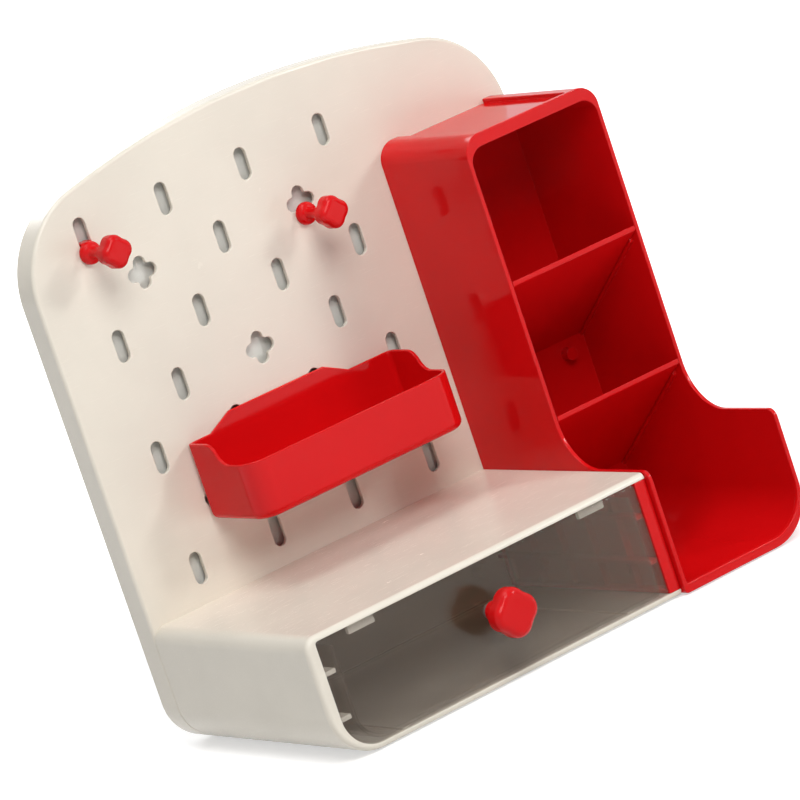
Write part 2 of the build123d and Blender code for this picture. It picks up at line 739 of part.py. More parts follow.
with BuildPart() as hanging_tray:
    with BuildSketch(Plane.XY.offset(tray_bottom)):
        tray_plan(0)
    extrude(amount=tray_hook_top - tray_bottom)
    fillet(faces().sort_by(Axis.Z)[0].edges(), radius=tray_bottom_round)
    with BuildSketch(Plane.XY.offset(tray_bottom + tray_wall)):
        tray_plan(tray_wall)
    extrude(amount=tray_hook_top - tray_bottom, mode=Mode.SUBTRACT)
    inside_rim = edges().filter_by_position(Axis.Z, tray_bottom + tray_wall, tray_bottom + tray_wall)
    fillet(inside_rim, radius=tray_bottom_round - tray_wall)
    # sides fall in an S from the high back to the low front
    inner_back_y = tray_back_y - tray_wall
    fall_start = tray_back_y - tray_shoulder
    fall_end = fall_start - tray_fall
    fall_mid = ((fall_start + fall_end) / 2, (tray_back_top + tray_front_top) / 2)
    with BuildSketch(side_plane(tray_left - 1)):
        with BuildLine():
            Polyline(
                (fall_start, tray_back_top),
                (inner_back_y, tray_back_top),
                (inner_back_y, tray_hook_top + 1),
                (tray_front_y - 1, tray_hook_top + 1),
                (tray_front_y - 1, tray_front_top),
                (fall_end, tray_front_top),
            )
            TangentArc((fall_end, tray_front_top), fall_mid, tangent=(1, 0))
            TangentArc((fall_start, tray_back_top), fall_mid, tangent=(-1, 0))
        make_face()
    extrude(amount=tray_width + 2, mode=Mode.SUBTRACT)
    # back wall: ends lower than the middle, which covers the hooks
    rise = tray_hook_top - tray_back_top
    hump_left = hook_places[0][0] - tray_hump_margin
    hump_right = hook_places[-1][0] + tray_hump_margin
    for end_x, hump_x, step in ((tray_left - 1, hump_left, -1), (tray_right + 1, hump_right, 1)):
        with BuildSketch(front_plane(tray_back_y + 1)):
            with BuildLine():
                Polyline(
                    (end_x, tray_back_top),
                    (hump_x + step * 2 * rise, tray_back_top),
                    (hump_x, tray_hook_top),
                    (hump_x, tray_hook_top + 1),
                    (end_x, tray_hook_top + 1),
                    close=True,
                )
            make_face()
        extrude(amount=tray_wall + 2, mode=Mode.SUBTRACT)
    add(tray_tongues)


def peg(hole, drop):
    """Turned peg with a domed base, thin neck and lobed head, hung in a board hole."""
    hole_x, hole_z = hole_place(*hole)
    seat_y = board_y - hanging_gap
    seat = Plane(origin=(hole_x, seat_y, hole_z - drop), x_dir=(1, 0, 0), z_dir=(0, -1, 0))
    base_r = peg_base_diameter / 2
    neck_r = peg_neck_diameter / 2
    flare_r = neck_r + peg_flare
    head_start = peg_length - peg_head_depth
    neck_end = head_start + peg_head_root
    tongue = hanging_tongues([(hole_x, hole_z)], seat_y - 0.5)
    with BuildPart() as turned:
        with BuildSketch(Plane(seat.origin, (1, 0, 0), (0, 0, 1))):
            with BuildLine():
                Line((0, 0), (base_r - peg_base_edge, 0))
                Line((base_r - peg_base_edge, 0), (base_r, -peg_base_edge))
                ThreePointArc(
                    (base_r, -peg_base_edge),
                    (base_r - peg_dome_draw, -peg_base_thickness * peg_dome_reach),
                    (flare_r, -peg_base_thickness),
                )
                Line((flare_r, -peg_base_thickness), (neck_r, -peg_base_thickness - peg_flare_length))
                Line((neck_r, -peg_base_thickness - peg_flare_length), (neck_r, -neck_end))
                Line((neck_r, -neck_end), (0, -neck_end))
                Line((0, -neck_end), (0, 0))
            make_face()
        revolve(axis=Axis(seat.origin, (0, 1, 0)))
        with BuildSketch(seat.offset(head_start)):
            lobed_outline(peg_head_tip, peg_head_lobe, peg_head_softness)
        extrude(amount=peg_head_depth)
        head_faces = faces().filter_by(Axis.Y).sort_by(Axis.Y)
        fillet(head_faces[0].edges(), radius=peg_head_depth * 0.38)
        add(tongue)
    return turned.part


hook_left = peg(left_peg_hole, left_peg_drop)
hook_right = peg(right_peg_hole, right_peg_drop)

# ---------------------------------------------------------------- rubber feet
feet = {}
foot_rows = (cabinet_foot_y, cabinet_foot_y, tower_foot_y)
for side_name, foot_x, foot_y_places in zip(("left", "middle", "right"), foot_x_places, foot_rows):
    for end_name, foot_y in foot_y_places.items():
        with BuildPart() as foot:
            with BuildSketch(Plane.XY):
                with Locations((foot_x, foot_y)):
                    Circle(foot_diameter / 2)
            extrude(amount=foot_stand + foot_seat)
            fillet(faces().sort_by(Axis.Z)[0].edges(), radius=foot_stand / 2)
        feet["foot_" + side_name + "_" + end_name] = foot.part

# ---------------------------------------------------------------- export
pieces = {
    "pegboard_panel": pegboard_panel.part,
    "back_cover": back_cover.part,
    "cover_screws": cover_screws,
    "cabinet_shell": cabinet_shell.part,
    "cabinet_screws": cabinet_screws,
    "end_panel": end_panel.part,
    "tower_shell": tower_shell.part,
    "upper_divider": upper_divider,
    "lower_divider": lower_divider,
    "tower_screws": tower_screws,
    "dock_screws": dock_screws.part,
    "drawer_box": drawer_box.part,
    "drawer_front": drawer_front.part,
    "drawer_knob": drawer_knob.part,
    "knob_screw": knob_screw.part,
    "hanging_tray": hanging_tray.part,
    "hook_left": hook_left,
    "hook_right": hook_right,
}
pieces.update(feet)

os.makedirs("parts", exist_ok=True)
for name, piece in pieces.items():
    piece.label = name
    export_step(piece, "parts/" + name + ".step")
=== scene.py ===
"""Looks of a pegboard desk organizer: arched board, drawer cabinet, stepped tower, tray and pegs."""

import math

import bmesh
import bpy
from bpy.props import FloatProperty, FloatVectorProperty, IntProperty, PointerProperty
from mathutils import Matrix, Vector


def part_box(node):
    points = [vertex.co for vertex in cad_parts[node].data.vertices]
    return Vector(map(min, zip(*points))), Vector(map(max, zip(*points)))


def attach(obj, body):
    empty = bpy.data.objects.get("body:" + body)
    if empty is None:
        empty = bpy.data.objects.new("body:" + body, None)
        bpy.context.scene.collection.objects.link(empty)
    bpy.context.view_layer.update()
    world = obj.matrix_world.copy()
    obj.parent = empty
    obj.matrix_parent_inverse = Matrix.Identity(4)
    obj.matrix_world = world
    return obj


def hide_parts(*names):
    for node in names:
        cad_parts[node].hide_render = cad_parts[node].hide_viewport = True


bl_info = {
    "name": "Pegboard Desk Organizer",
    "version": (1, 0, 0),
    "blender": (4, 5, 0),
    "location": "3D View > Sidebar > Organizer",
    "description": "Models a pegboard desk organizer piece by piece around its CAD frame",
    "category": "Add Mesh",
}

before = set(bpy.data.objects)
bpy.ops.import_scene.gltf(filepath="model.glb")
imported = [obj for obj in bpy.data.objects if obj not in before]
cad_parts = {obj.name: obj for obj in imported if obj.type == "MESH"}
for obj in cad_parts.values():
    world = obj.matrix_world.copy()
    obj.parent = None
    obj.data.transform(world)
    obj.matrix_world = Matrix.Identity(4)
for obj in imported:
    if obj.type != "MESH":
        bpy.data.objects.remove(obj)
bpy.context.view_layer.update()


# ---------------------------------------------------------------- where the frame puts things
def low(node):
    """Lowest corner of a CAD node."""
    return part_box(node)[0]


def high(node):
    """Highest corner of a CAD node."""
    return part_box(node)[1]


BOARD_FRONT = low("pegboard_panel").y
BOARD_BACK = high("pegboard_panel").y
BASE_Z = low("pegboard_panel").z
BOARD_TOP = 0.302
HALF_WIDTH = 0.150
COLUMNS = [-0.113, -0.063, -0.013, 0.037]
ROWS = [0.0855, 0.1455, 0.2055, 0.2655]
GUIDE_ROWS = (0.022, 0.046)  # heights of the drawer's side guides
GUIDE_HALF = 0.0012  # half the thickness of a guide
TAB_INSET = 0.022  # from the drawer's side to the middle of a stop tab
GAP = 0.0003  # between pieces that fit together or slide
GRIP = 0.0005  # how far an added shape sinks into its neighbour
ROOT = 0.0004  # the same for a screw boss
PAST = 0.001  # how far a cutter reaches past the face it opens


# ---------------------------------------------------------------- work planes and outlines
FINEST = 0.0003  # shortest piece of an arc
ALONG = {"front": Vector((0, 1, 0)), "plan": Vector((0, 0, 1)), "side": Vector((1, 0, 0))}
TURN = {"front": (0, -1, 0), "plan": (0, 0, 1), "side": (1, 0, 0)}


def on_plane(plane, at, place):
    """A place on a work plane: front holds X and Z, plan X and Y, side Y and Z."""
    u, v = place
    return Vector({"front": (u, at, v), "plan": (u, v, at), "side": (at, u, v)}[plane])


def rounded(u0, u1, v0, v1, top_left=0.0, top_right=0.0, low_right=0.0, low_left=0.0):
    """Start point and moves of a rectangle with its own radius at each corner."""
    start = (u0 + low_left, v0)
    moves = [("line", (u1 - low_right, v0))]
    if low_right:
        moves.append(("arc", (u1 - low_right, v0 + low_right), 90))
    moves.append(("line", (u1, v1 - top_right)))
    if top_right:
        moves.append(("arc", (u1 - top_right, v1 - top_right), 90))
    moves.append(("line", (u0 + top_left, v1)))
    if top_left:
        moves.append(("arc", (u0 + top_left, v1 - top_left), 90))
    moves.append(("line", (u0, v0 + low_left)))
    if low_left:
        moves.append(("arc", (u0 + low_left, v0 + low_left), 90))
    return start, moves


def polygon(*places):
    """Start point and straight moves through the places."""
    return places[0], [("line", place) for place in places[1:] + places[:1]]


def rectangle(u0, u1, v0, v1):
    """Start point and moves of a plain rectangle."""
    return polygon((u0, v0), (u1, v0), (u1, v1), (u0, v1))


def upright_slot(u, v, width, length):
    """Obround standing on end."""
    r = width / 2
    reach = length / 2 - r
    return (u + r, v - reach), [
        ("line", (u + r, v + reach)),
        ("arc", (u, v + reach), 180),
        ("line", (u - r, v - reach)),
        ("arc", (u, v - reach), 180),
    ]


def lobed(u, v, tip, lobe, soft):
    """Rounded square with four soft lobes and hollow sides between them."""
    d = tip - lobe
    c = d / 2 + math.sqrt((lobe + soft) ** 2 / 2 - d * d / 4)
    a = math.degrees(math.atan2(c, c - d))
    first = math.radians(-a)
    moves = []
    for quarter in range(4):
        t = math.radians(90 * quarter)
        moves.append(("arc", (u + d * math.cos(t), v + d * math.sin(t)), 2 * a))
        n = t + math.pi / 4
        reach = c * math.sqrt(2)
        moves.append(("arc", (u + reach * math.cos(n), v + reach * math.sin(n)), 90 - 2 * a))
    return (u + d + lobe * math.cos(first), v + lobe * math.sin(first)), moves


def arched(inset):
    """The board's outline, moved inwards by inset."""
    sizes = bpy.context.scene.organizer_board
    foot = sizes.foot_corner
    half = HALF_WIDTH - inset
    foot_u = HALF_WIDTH - foot
    foot_v = BASE_Z + foot
    arch_v = BOARD_TOP - sizes.arch_radius
    shoulder_u = HALF_WIDTH - sizes.shoulder_radius
    reach = sizes.arch_radius - sizes.shoulder_radius
    shoulder_v = arch_v + math.sqrt(reach**2 - shoulder_u**2)
    join = math.degrees(math.atan2(shoulder_v - arch_v, shoulder_u))
    return (-foot_u, BASE_Z + inset), [
        ("line", (foot_u, BASE_Z + inset)),
        ("arc", (foot_u, foot_v), 90),
        ("line", (half, shoulder_v)),
        ("arc", (shoulder_u, shoulder_v), join),
        ("arc", (0.0, arch_v), 180 - 2 * join),
        ("arc", (-shoulder_u, shoulder_v), join),
        ("line", (-half, foot_v)),
        ("arc", (-foot_u, foot_v), 90),
    ]


# ---------------------------------------------------------------- modelling by operators
def deselect():
    """Nothing is selected or in edit mode."""
    if bpy.context.object and bpy.context.object.mode != "OBJECT":
        bpy.ops.object.mode_set(mode="OBJECT")
    bpy.ops.object.select_all(action="DESELECT")


def activate(obj):
    """Only obj is selected, and it is active."""
    deselect()
    obj.select_set(True)
    bpy.context.view_layer.objects.active = obj
    return obj


def weld(distance=1e-6):
    """In edit mode, selects everything and joins vertices that share a place."""
    bpy.ops.mesh.select_all(action="SELECT")
    bpy.ops.mesh.remove_doubles(threshold=distance)


def extrude(move):
    """In edit mode, extrudes what is selected by a move."""
    bpy.ops.mesh.extrude_region_move(TRANSFORM_OT_translate={"value": move})


def bevel(test, width, segments):
    """In edit mode, bevels the edges that pass the test."""
    mesh = bpy.context.object.data
    bpy.ops.mesh.select_mode(type="EDGE")
    bpy.ops.mesh.select_all(action="DESELECT")
    edit = bmesh.from_edit_mesh(mesh)
    for edge in edit.edges:
        edge.select_set(bool(test(edge)))
    edit.select_flush_mode()
    bmesh.update_edit_mesh(mesh)
    bpy.ops.mesh.bevel(offset=width, offset_type="OFFSET", segments=segments, profile=0.5,
                       affect="EDGES", clamp_overlap=False)
    weld()


def first_vertex(name, place):
    """A new mesh in edit mode, with one selected vertex at a place."""
    deselect()
    bpy.ops.mesh.primitive_plane_add(size=0.001, location=(0, 0, 0))
    obj = bpy.context.object
    obj.name = name
    obj.data.name = name
    bpy.ops.object.mode_set(mode="EDIT")
    bpy.ops.mesh.select_mode(type="VERT")
    bpy.ops.mesh.select_all(action="SELECT")
    bpy.ops.mesh.merge(type="CENTER")
    bpy.ops.transform.translate(value=place)
    return obj


def closed(obj):
    """Turns all faces outwards and leaves edit mode."""
    bpy.ops.mesh.select_all(action="SELECT")
    bpy.ops.mesh.normals_make_consistent(inside=False)
    bpy.ops.object.mode_set(mode="OBJECT")
    return obj


def prism(name, plane, at, depth, outline, step=7.5):
    """Traces an outline with vertex extrusions and spins, fills it and extrudes it by depth."""
    start, moves = outline
    here = on_plane(plane, at, start)
    obj = first_vertex(name, here)
    for move in moves:
        there = on_plane(plane, at, move[1])
        if move[0] == "line":
            if (there - here).length > 1e-7:
                extrude(there - here)
            here = there
        else:
            angle = math.radians(move[2])
            length = abs(angle) * (here - there).length
            count = max(2, min(math.ceil(abs(move[2]) / step), math.ceil(length / FINEST)))
            bpy.ops.mesh.spin(
                steps=count, angle=-angle, center=there, axis=TURN[plane], use_auto_merge=False
            )
            here = there + Matrix.Rotation(angle, 3, Vector(TURN[plane])) @ (here - there)
    weld()
    bpy.ops.mesh.edge_face_add()
    extrude(ALONG[plane] * depth)
    return closed(obj)


def lathe(name, centre, axis, profile, steps=48):
    """Turns a profile of (radius, along) places about an axis, and closes its ends."""
    axis = Vector(axis)
    side = Vector((1, 0, 0)) if abs(axis.x) < 0.5 else Vector((0, 1, 0))
    places = [Vector(centre) + side * r + axis * a for r, a in profile]
    obj = first_vertex(name, places[0])
    for before, after in zip(places, places[1:]):
        extrude(after - before)
    bpy.ops.mesh.select_all(action="SELECT")
    bpy.ops.mesh.spin(steps=steps, angle=math.tau, center=centre, axis=axis, use_auto_merge=True)
    weld()
    return closed(obj)


def soften(obj, test, width, segments):
    """Bevels the edges of obj that pass the test."""
    activate(obj)
    bpy.ops.object.mode_set(mode="EDIT")
    bevel(test, width, segments)
    bpy.ops.object.mode_set(mode="OBJECT")
    return obj


def ends_at(axis, value):
    """Test for edges whose two ends lie at a value along an axis."""
    return lambda edge: all(abs(v.co[axis] - value) < 1e-5 for v in edge.verts)


def apply(obj, kind, **settings):
    """Adds a modifier with its settings and applies it."""
    activate(obj)
    modifier = obj.modifiers.new(kind.title(), kind)
    for key, value in settings.items():
        setattr(modifier, key, value)
    bpy.ops.object.modifier_apply(modifier=modifier.name)
    return obj


def boolean(obj, tool, operation="DIFFERENCE"):
    """Cuts tool from obj, adds it or keeps what both share, and removes tool."""
    apply(obj, "BOOLEAN", object=tool, operation=operation, solver="EXACT")
    bpy.data.objects.remove(tool)
    return obj


def joined(pieces):
    """Joins several meshes into the first."""
    activate(pieces[0])
    for piece in pieces:
        piece.select_set(True)
    bpy.ops.object.join()
    return bpy.context.object


def copies(model, shifts):
    """Copies of model, each with its own mesh, moved by the shifts, joined into one."""
    made = []
    for shift in shifts:
        activate(model)
        bpy.ops.object.duplicate(linked=False)
        copy = bpy.context.object
        bpy.ops.transform.translate(value=shift)
        bpy.ops.object.transform_apply(location=True, rotation=True, scale=True)
        made.append(copy)
    bpy.data.objects.remove(model)
    return joined(made)


def finished(obj, node, body, slot, edge=0.0, angle=35, segments=3, spare=lambda edge: False):
    """Rounds the outer edges that aren't spared, shades the piece and puts it in the frame."""
    activate(obj)
    bpy.ops.object.mode_set(mode="EDIT")
    weld(1e-5)
    bpy.ops.mesh.fill_holes(sides=5)
    bpy.ops.mesh.dissolve_degenerate(threshold=1e-5)
    bpy.ops.mesh.dissolve_limited(angle_limit=math.radians(0.5))
    if edge:
        sharp = math.radians(angle)
        bevel(lambda e: e.is_manifold and e.is_convex and e.calc_face_angle() > sharp
              and not spare(e), edge, segments)
    bpy.ops.object.mode_set(mode="OBJECT")
    activate(obj)
    bpy.ops.object.transform_apply(location=True, rotation=True, scale=True)
    bpy.ops.object.shade_smooth_by_angle(angle=math.radians(40))
    apply(obj, "WEIGHTED_NORMAL", weight=50, keep_sharp=True, mode="FACE_AREA")
    obj.name = node + "_skin"
    obj.data.name = obj.name
    obj.data.materials.clear()
    obj.data.materials.append(material(slot))
    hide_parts(node)
    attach(obj, body)
    deselect()
    return obj


# ---------------------------------------------------------------- shader expressions
class Signal:
    """A shader socket that takes part in sums; each sum adds a Math node."""

    def __init__(self, sheet, socket):
        self.sheet = sheet
        self.socket = socket

    def _sum(self, operation, *values):
        return self.sheet.node("ShaderNodeMath", {"operation": operation}, values)

    def __add__(self, other):
        return self._sum("ADD", self, other)

    def __sub__(self, other):
        return self._sum("SUBTRACT", self, other)

    def __rsub__(self, other):
        return self._sum("SUBTRACT", other, self)

    def __mul__(self, other):
        return self._sum("MULTIPLY", self, other)

    __radd__ = __add__
    __rmul__ = __mul__

    def between(self, start, end):
        """0 below start, 1 above end, smooth between them."""
        return self.sheet.node(
            "ShaderNodeMapRange",
            {"interpolation_type": "SMOOTHSTEP"},
            {"Value": self, "From Min": start, "From Max": end},
        )


class ShaderSheet:
    """Node tree of one material, with a Principled shader on its output."""

    def __init__(self, name):
        self.material = bpy.data.materials.new(name)
        self.material.use_nodes = True
        self.tree = self.material.node_tree
        self.tree.nodes.clear()
        self.output = self.tree.nodes.new("ShaderNodeOutputMaterial")
        self.shader = self.tree.nodes.new("ShaderNodeBsdfPrincipled")
        self.tree.links.new(self.shader.outputs[0], self.output.inputs["Surface"])

    def put(self, socket, value):
        """A link from a signal, or a plain value, into a socket."""
        if isinstance(value, Signal):
            self.tree.links.new(value.socket, socket)
        else:
            socket.default_value = value

    def node(self, kind, settings=None, inputs=(), output=0):
        """A node with its settings and inputs; gives back one output as a signal."""
        made = self.tree.nodes.new(kind)
        for key, value in (settings or {}).items():
            if key == "stops":
                for index, (place, colour) in enumerate(value):
                    stops = made.color_ramp.elements
                    stop = stops[index] if index < len(stops) else stops.new(place)
                    stop.position = place
                    stop.color = colour
            else:
                setattr(made, key, value)
        pairs = inputs.items() if isinstance(inputs, dict) else enumerate(inputs)
        for key, value in pairs:
            self.put(made.inputs[key], value)
        return Signal(self, made.outputs[output])

    def set(self, **sockets):
        """Sockets of the Principled shader, with _ for a space."""
        for key, value in sockets.items():
            self.put(self.shader.inputs[key.replace("_", " ")], value)
        return self

    def place(self, scale=(1, 1, 1), turn=(0, 0, 0)):
        """Object coordinates, stretched and turned."""
        coordinates = self.node("ShaderNodeTexCoord", output="Object")
        return self.node(
            "ShaderNodeMapping", {}, {"Vector": coordinates, "Scale": scale, "Rotation": turn}
        )

    def noise(self, scale, detail=3.0, rough=0.55, where=None, bend=0.0):
        """Cloudy signal from 0 to 1; scale is in patches per metre."""
        return self.node(
            "ShaderNodeTexNoise", {},
            {"Vector": where or self.place(), "Scale": scale, "Detail": detail,
             "Roughness": rough, "Distortion": bend},
        )

    def mix(self, factor, first, second):
        """Two colours mixed by a factor."""
        colours = {0: factor, 6: first, 7: second}
        return self.node("ShaderNodeMix", {"data_type": "RGBA"}, colours, output=2)

    def vector_sum(self, operation, *values):
        """A number worked out from vectors."""
        return self.node("ShaderNodeVectorMath", {"operation": operation}, values, "Value")

    def edges(self, radius):
        """1 along edges sharper than radius, 0 on open faces."""
        round_normal = self.node("ShaderNodeBevel", {"samples": 4}, {"Radius": radius})
        flat_normal = self.node("ShaderNodeNewGeometry", output="Normal")
        return (1 - self.vector_sum("DOT_PRODUCT", round_normal, flat_normal)).between(0.01, 0.25)

    def bump(self, height, depth):
        """Normal from a height signal; depth in metres."""
        return self.node("ShaderNodeBump", {}, {"Height": height, "Distance": depth})


def tint(colour, factor):
    """The colour made lighter or darker, with alpha 1."""
    return tuple(min(1.0, c * factor) for c in colour[:3]) + (1.0,)


def moulded_plastic(name, colour, rough, refraction, grain_depth):
    """Injection-moulded plastic: soft tone changes, fine grain, hairline marks and rubbed edges."""
    sheet = ShaderSheet(name)
    tone = sheet.noise(14.0, 3.0)
    blotch = sheet.noise(65.0, 4.0, 0.6)
    base = sheet.mix(tone.between(0.3, 0.7), tint(colour, 0.965), tint(colour, 1.02))
    rubbed = sheet.edges(0.0011) * sheet.noise(420.0, 3.0).between(0.35, 0.75)
    base = sheet.mix(rubbed * 0.30, base, tint(tuple(c * 0.8 + 0.16 for c in colour[:3]), 1.0))
    dust = sheet.noise(1500.0, 2.0).between(0.72, 0.80)
    base = sheet.mix(dust * 0.06, base, (0.30, 0.27, 0.24, 1.0))
    hairs = sheet.noise(90.0, 2.0, 0.5, sheet.place((1.0, 30.0, 30.0), (0.3, 0.5, 0.7)), 0.4)
    marks = hairs.between(0.66, 0.72)
    roughness = rough - 0.03 + blotch * 0.06 + marks * 0.06 + rubbed * 0.10
    fine = sheet.noise(2600.0, 2.0)
    peel = sheet.noise(260.0, 2.0)
    height = fine * 0.6 + peel * 0.8 - marks * 0.25
    sheet.set(
        Base_Color=base, Roughness=roughness, Normal=sheet.bump(height, grain_depth),
        IOR=refraction,
    )
    return sheet.material


def smoked_clear(name, colour):
    """Clear brown-grey plastic with faint wipe marks, and painted edge lines where its opacity rises along
    the edges.
    """
    sheet = ShaderSheet(name)
    smear = sheet.noise(30.0, 4.0, 0.6, sheet.place((1.0, 1.0, 2.2), (0.0, 0.4, 0.0)), 0.6)
    prints = sheet.noise(260.0, 3.0).between(0.60, 0.74)
    tone = sheet.noise(9.0, 2.0).between(0.3, 0.7)
    base = sheet.mix(tone, tint(colour, 0.9), tint(colour, 1.1))
    roughness = 0.05 + smear.between(0.45, 0.8) * 0.05 + prints * 0.03
    # Painted edge lines: opacity rises by up to half along edges, standing in for the reflection and
    # refraction at the rims of clear plastic; tone and smear add random changes.
    clear = colour[3] + tone * 0.03 + smear.between(0.5, 0.8) * 0.02 + sheet.edges(0.0012) * 0.5
    sheet.set(
        Base_Color=base, Roughness=roughness, Alpha=clear,
        Normal=sheet.bump(sheet.noise(60.0, 2.0), 0.00004), IOR=1.9,
    )
    return sheet.material


def plated_steel(name):
    """Zinc-plated screw steel with turning marks."""
    sheet = ShaderSheet(name)
    tone = sheet.noise(700.0, 3.0)
    fine = sheet.noise(5200.0, 2.0)
    base = sheet.mix(tone.between(0.3, 0.7), (0.50, 0.50, 0.50, 1.0), (0.66, 0.66, 0.65, 1.0))
    sheet.set(
        Base_Color=base, Metallic=1.0, Roughness=0.26 + tone * 0.16,
        Normal=sheet.bump(fine, 0.00002),
    )
    return sheet.material


def pad_rubber(name):
    """Dark rubber with a dusty bloom."""
    sheet = ShaderSheet(name)
    bloom = sheet.noise(420.0, 4.0)
    base = sheet.mix(bloom.between(0.4, 0.7), (0.022, 0.021, 0.020, 1.0), (0.060, 0.057, 0.053, 1.0))
    sheet.set(
        Base_Color=base, Roughness=0.72 + bloom * 0.15,
        Normal=sheet.bump(sheet.noise(2400.0, 3.0), 0.00008),
    )
    return sheet.material


def material(slot):
    """The finish of a slot, made on first use from the colours in the panel."""
    finish = bpy.context.scene.organizer_finish
    name, make, values = {
        "cream_shell": ("cream_plastic", moulded_plastic,
                        (finish.cream, finish.cream_roughness, 1.45, 0.00001)),
        "red_shell": ("red_plastic", moulded_plastic,
                      (finish.red, finish.red_roughness, 1.24, 0.000006)),
        "grey_back": ("grey_cover", moulded_plastic, (finish.grey, 0.55, 1.40, 0.00005)),
        "smoke_clear": ("smoked_plastic", smoked_clear, (finish.smoke,)),
        "screw_steel": ("screw_steel", plated_steel, ()),
        "foot_rubber": ("pad_rubber", pad_rubber, ()),
    }[slot]
    if name not in bpy.data.materials:
        make(name, *values)
    return bpy.data.materials[name]


# ---------------------------------------------------------------- settings
def size(name, description, default):
    """A length that shows in the panel."""
    return FloatProperty(name=name, description=description, default=default, min=0.0,
                         subtype="DISTANCE", unit="LENGTH", precision=5)


def rows(name, description, default):
    """Two heights that show in the panel."""
    return FloatVectorProperty(name=name, description=description, default=default, size=2,
                               subtype="XYZ_LENGTH", unit="LENGTH")


def share(name, description, default, most=1.0):
    """A number without a unit that shows in the panel."""
    return FloatProperty(name=name, description=description, default=default, min=0.0, max=most)


def hue(name, description, default):
    """A colour that shows in the panel."""
    return FloatVectorProperty(name=name, description=description, default=default, size=4,
                               min=0.0, max=1.0, subtype="COLOR")


class OrganizerBoard(bpy.types.PropertyGroup):
    """Sizes of the arched board and its holes."""

    plate: size("Plate", "Thickness of the front plate", 0.0026)
    rim: size("Rim", "Thickness of the rim wall", 0.0024)
    front_round: size("Front edge", "Rounding of the front edge", 0.002)
    arch_radius: size("Arch radius", "Radius of the long top arch", 0.465)
    shoulder_radius: size("Shoulder radius", "Radius where the arch meets the sides", 0.050)
    foot_corner: size("Foot corner", "Radius of the lower outside corners", 0.025)
    slot_width: size("Slot width", "Width of a hole", 0.007)
    slot_length: size("Slot length", "Length of a hole", 0.017)
    clover_notch: size("Clover notch", "Rounding between the lobes of a clover hole", 0.0014)


class OrganizerCabinet(bpy.types.PropertyGroup):
    """Sizes of the cabinet and its drawer."""

    wall: size("Wall", "Wall of the cabinet shell", 0.0026)
    lip_depth: size("Lip depth", "Depth of the frame round the drawer mouth", 0.004)
    lip_side: size("Side lip", "Width of the frame at the left", 0.0062)
    lip_edge: size("Edge lip", "Width of the frame at top and bottom", 0.0032)
    top_corner: size("Top corner", "Radius of the upper left corner", 0.0075)
    front_round: size("Front round", "Rounding of the outer front edge", 0.0028)
    drawer_gap: size("Drawer gap", "Gap round the drawer front", 0.0005)
    drawer_wall: size("Drawer wall", "Wall of the drawer box", 0.002)
    drawer_corner: size("Drawer corner", "Lower left corner of the box", 0.016)
    travel: size("Travel", "How far the drawer comes out", 0.120)


class OrganizerTower(bpy.types.PropertyGroup):
    """Sizes of the tower."""

    wall: size("Wall", "Side walls", 0.0023)
    back: size("Back", "Back wall", 0.0024)
    corner: size("Corner", "Radius of the upper corners", 0.011)
    sweep: size("Sweep", "Concave sweep down to the base", 0.025)
    base_top: size("Base top", "Height of the base walls", 0.0675)
    base_corner: size("Base corner", "Front corner of the base walls", 0.005)
    depth: size("Depth", "Depth of the upright part", 0.081)
    top_drop: size("Top drop", "Depth of the recess in the top", 0.0023)
    top_plate: size("Top plate", "Thickness of the top", 0.0024)
    top_margin: size("Top margin", "Rim at each side of the recess", 0.015)
    lip: size("Top lip", "Height of the top's front edge", 0.007)
    floor_lip: size("Floor lip", "Height of the front lip of the floor", 0.005)
    divider: size("Divider", "Thickness of the slanted dividers", 0.0022)
    divider_fall: share("Divider fall", "Drop of a divider per length to the back", 0.70, 2.0)
    ledge: size("Ledge", "Width of the ledges under the dividers", 0.002)


class OrganizerHangers(bpy.types.PropertyGroup):
    """Sizes of the tray, the pegs, the knob and their tongues."""

    tray_wall: size("Tray wall", "Wall of the hanging tray", 0.002)
    tray_corner: size("Tray corner", "Front corners of the tray", 0.012)
    tray_bottom: size("Tray bottom", "Rounding of the tray's lower edge", 0.004)
    tongue_width: size("Tongue width", "Width of a tongue in its slot", 0.0062)
    tongue_height: size("Tongue height", "Height of a tongue in its slot", 0.008)
    peg_tongue: size("Peg tongue", "Height of a peg's tongue in its slot", 0.004)
    tongue_drop: size("Tongue drop", "Reach of the lip below the tongue", 0.007)
    knob_tip: size("Knob", "Centre to lobe tip of the knob", 0.013)
    peg_tip: size("Peg head", "Centre to lobe tip of a peg's head", 0.0087)


class OrganizerScrews(bpy.types.PropertyGroup):
    """Sizes of the screws."""

    fit: size("Fit", "Room round a shank", 0.00005)
    boss: size("Boss", "Diameter of the bosses that take the screws", 0.007)
    pilot_end: size("Pilot end", "How much deeper a pilot hole goes than its screw", 0.0007)
    cover_rows: rows("Cover rows", "Heights of the cover's side screws", (0.066, 0.198))
    cabinet_rows: rows("Cabinet rows", "Heights of the cabinet's screws", (0.020, 0.048))
    tower_rows: rows("Tower rows", "Heights of the tower's lower screws", (0.031, 0.104))
    head: size("Head", "Diameter of a screw's head", 0.0056)
    head_height: size("Head height", "Height of a screw's head", 0.0018)
    sunk_head: size("Sunk head", "Height of the cover's sunk screw heads", 0.00115)
    shank: size("Shank", "Diameter of a screw's shank", 0.0028)
    knob_head: size("Knob screw head", "Height of the head of the knob's screw", 0.0024)


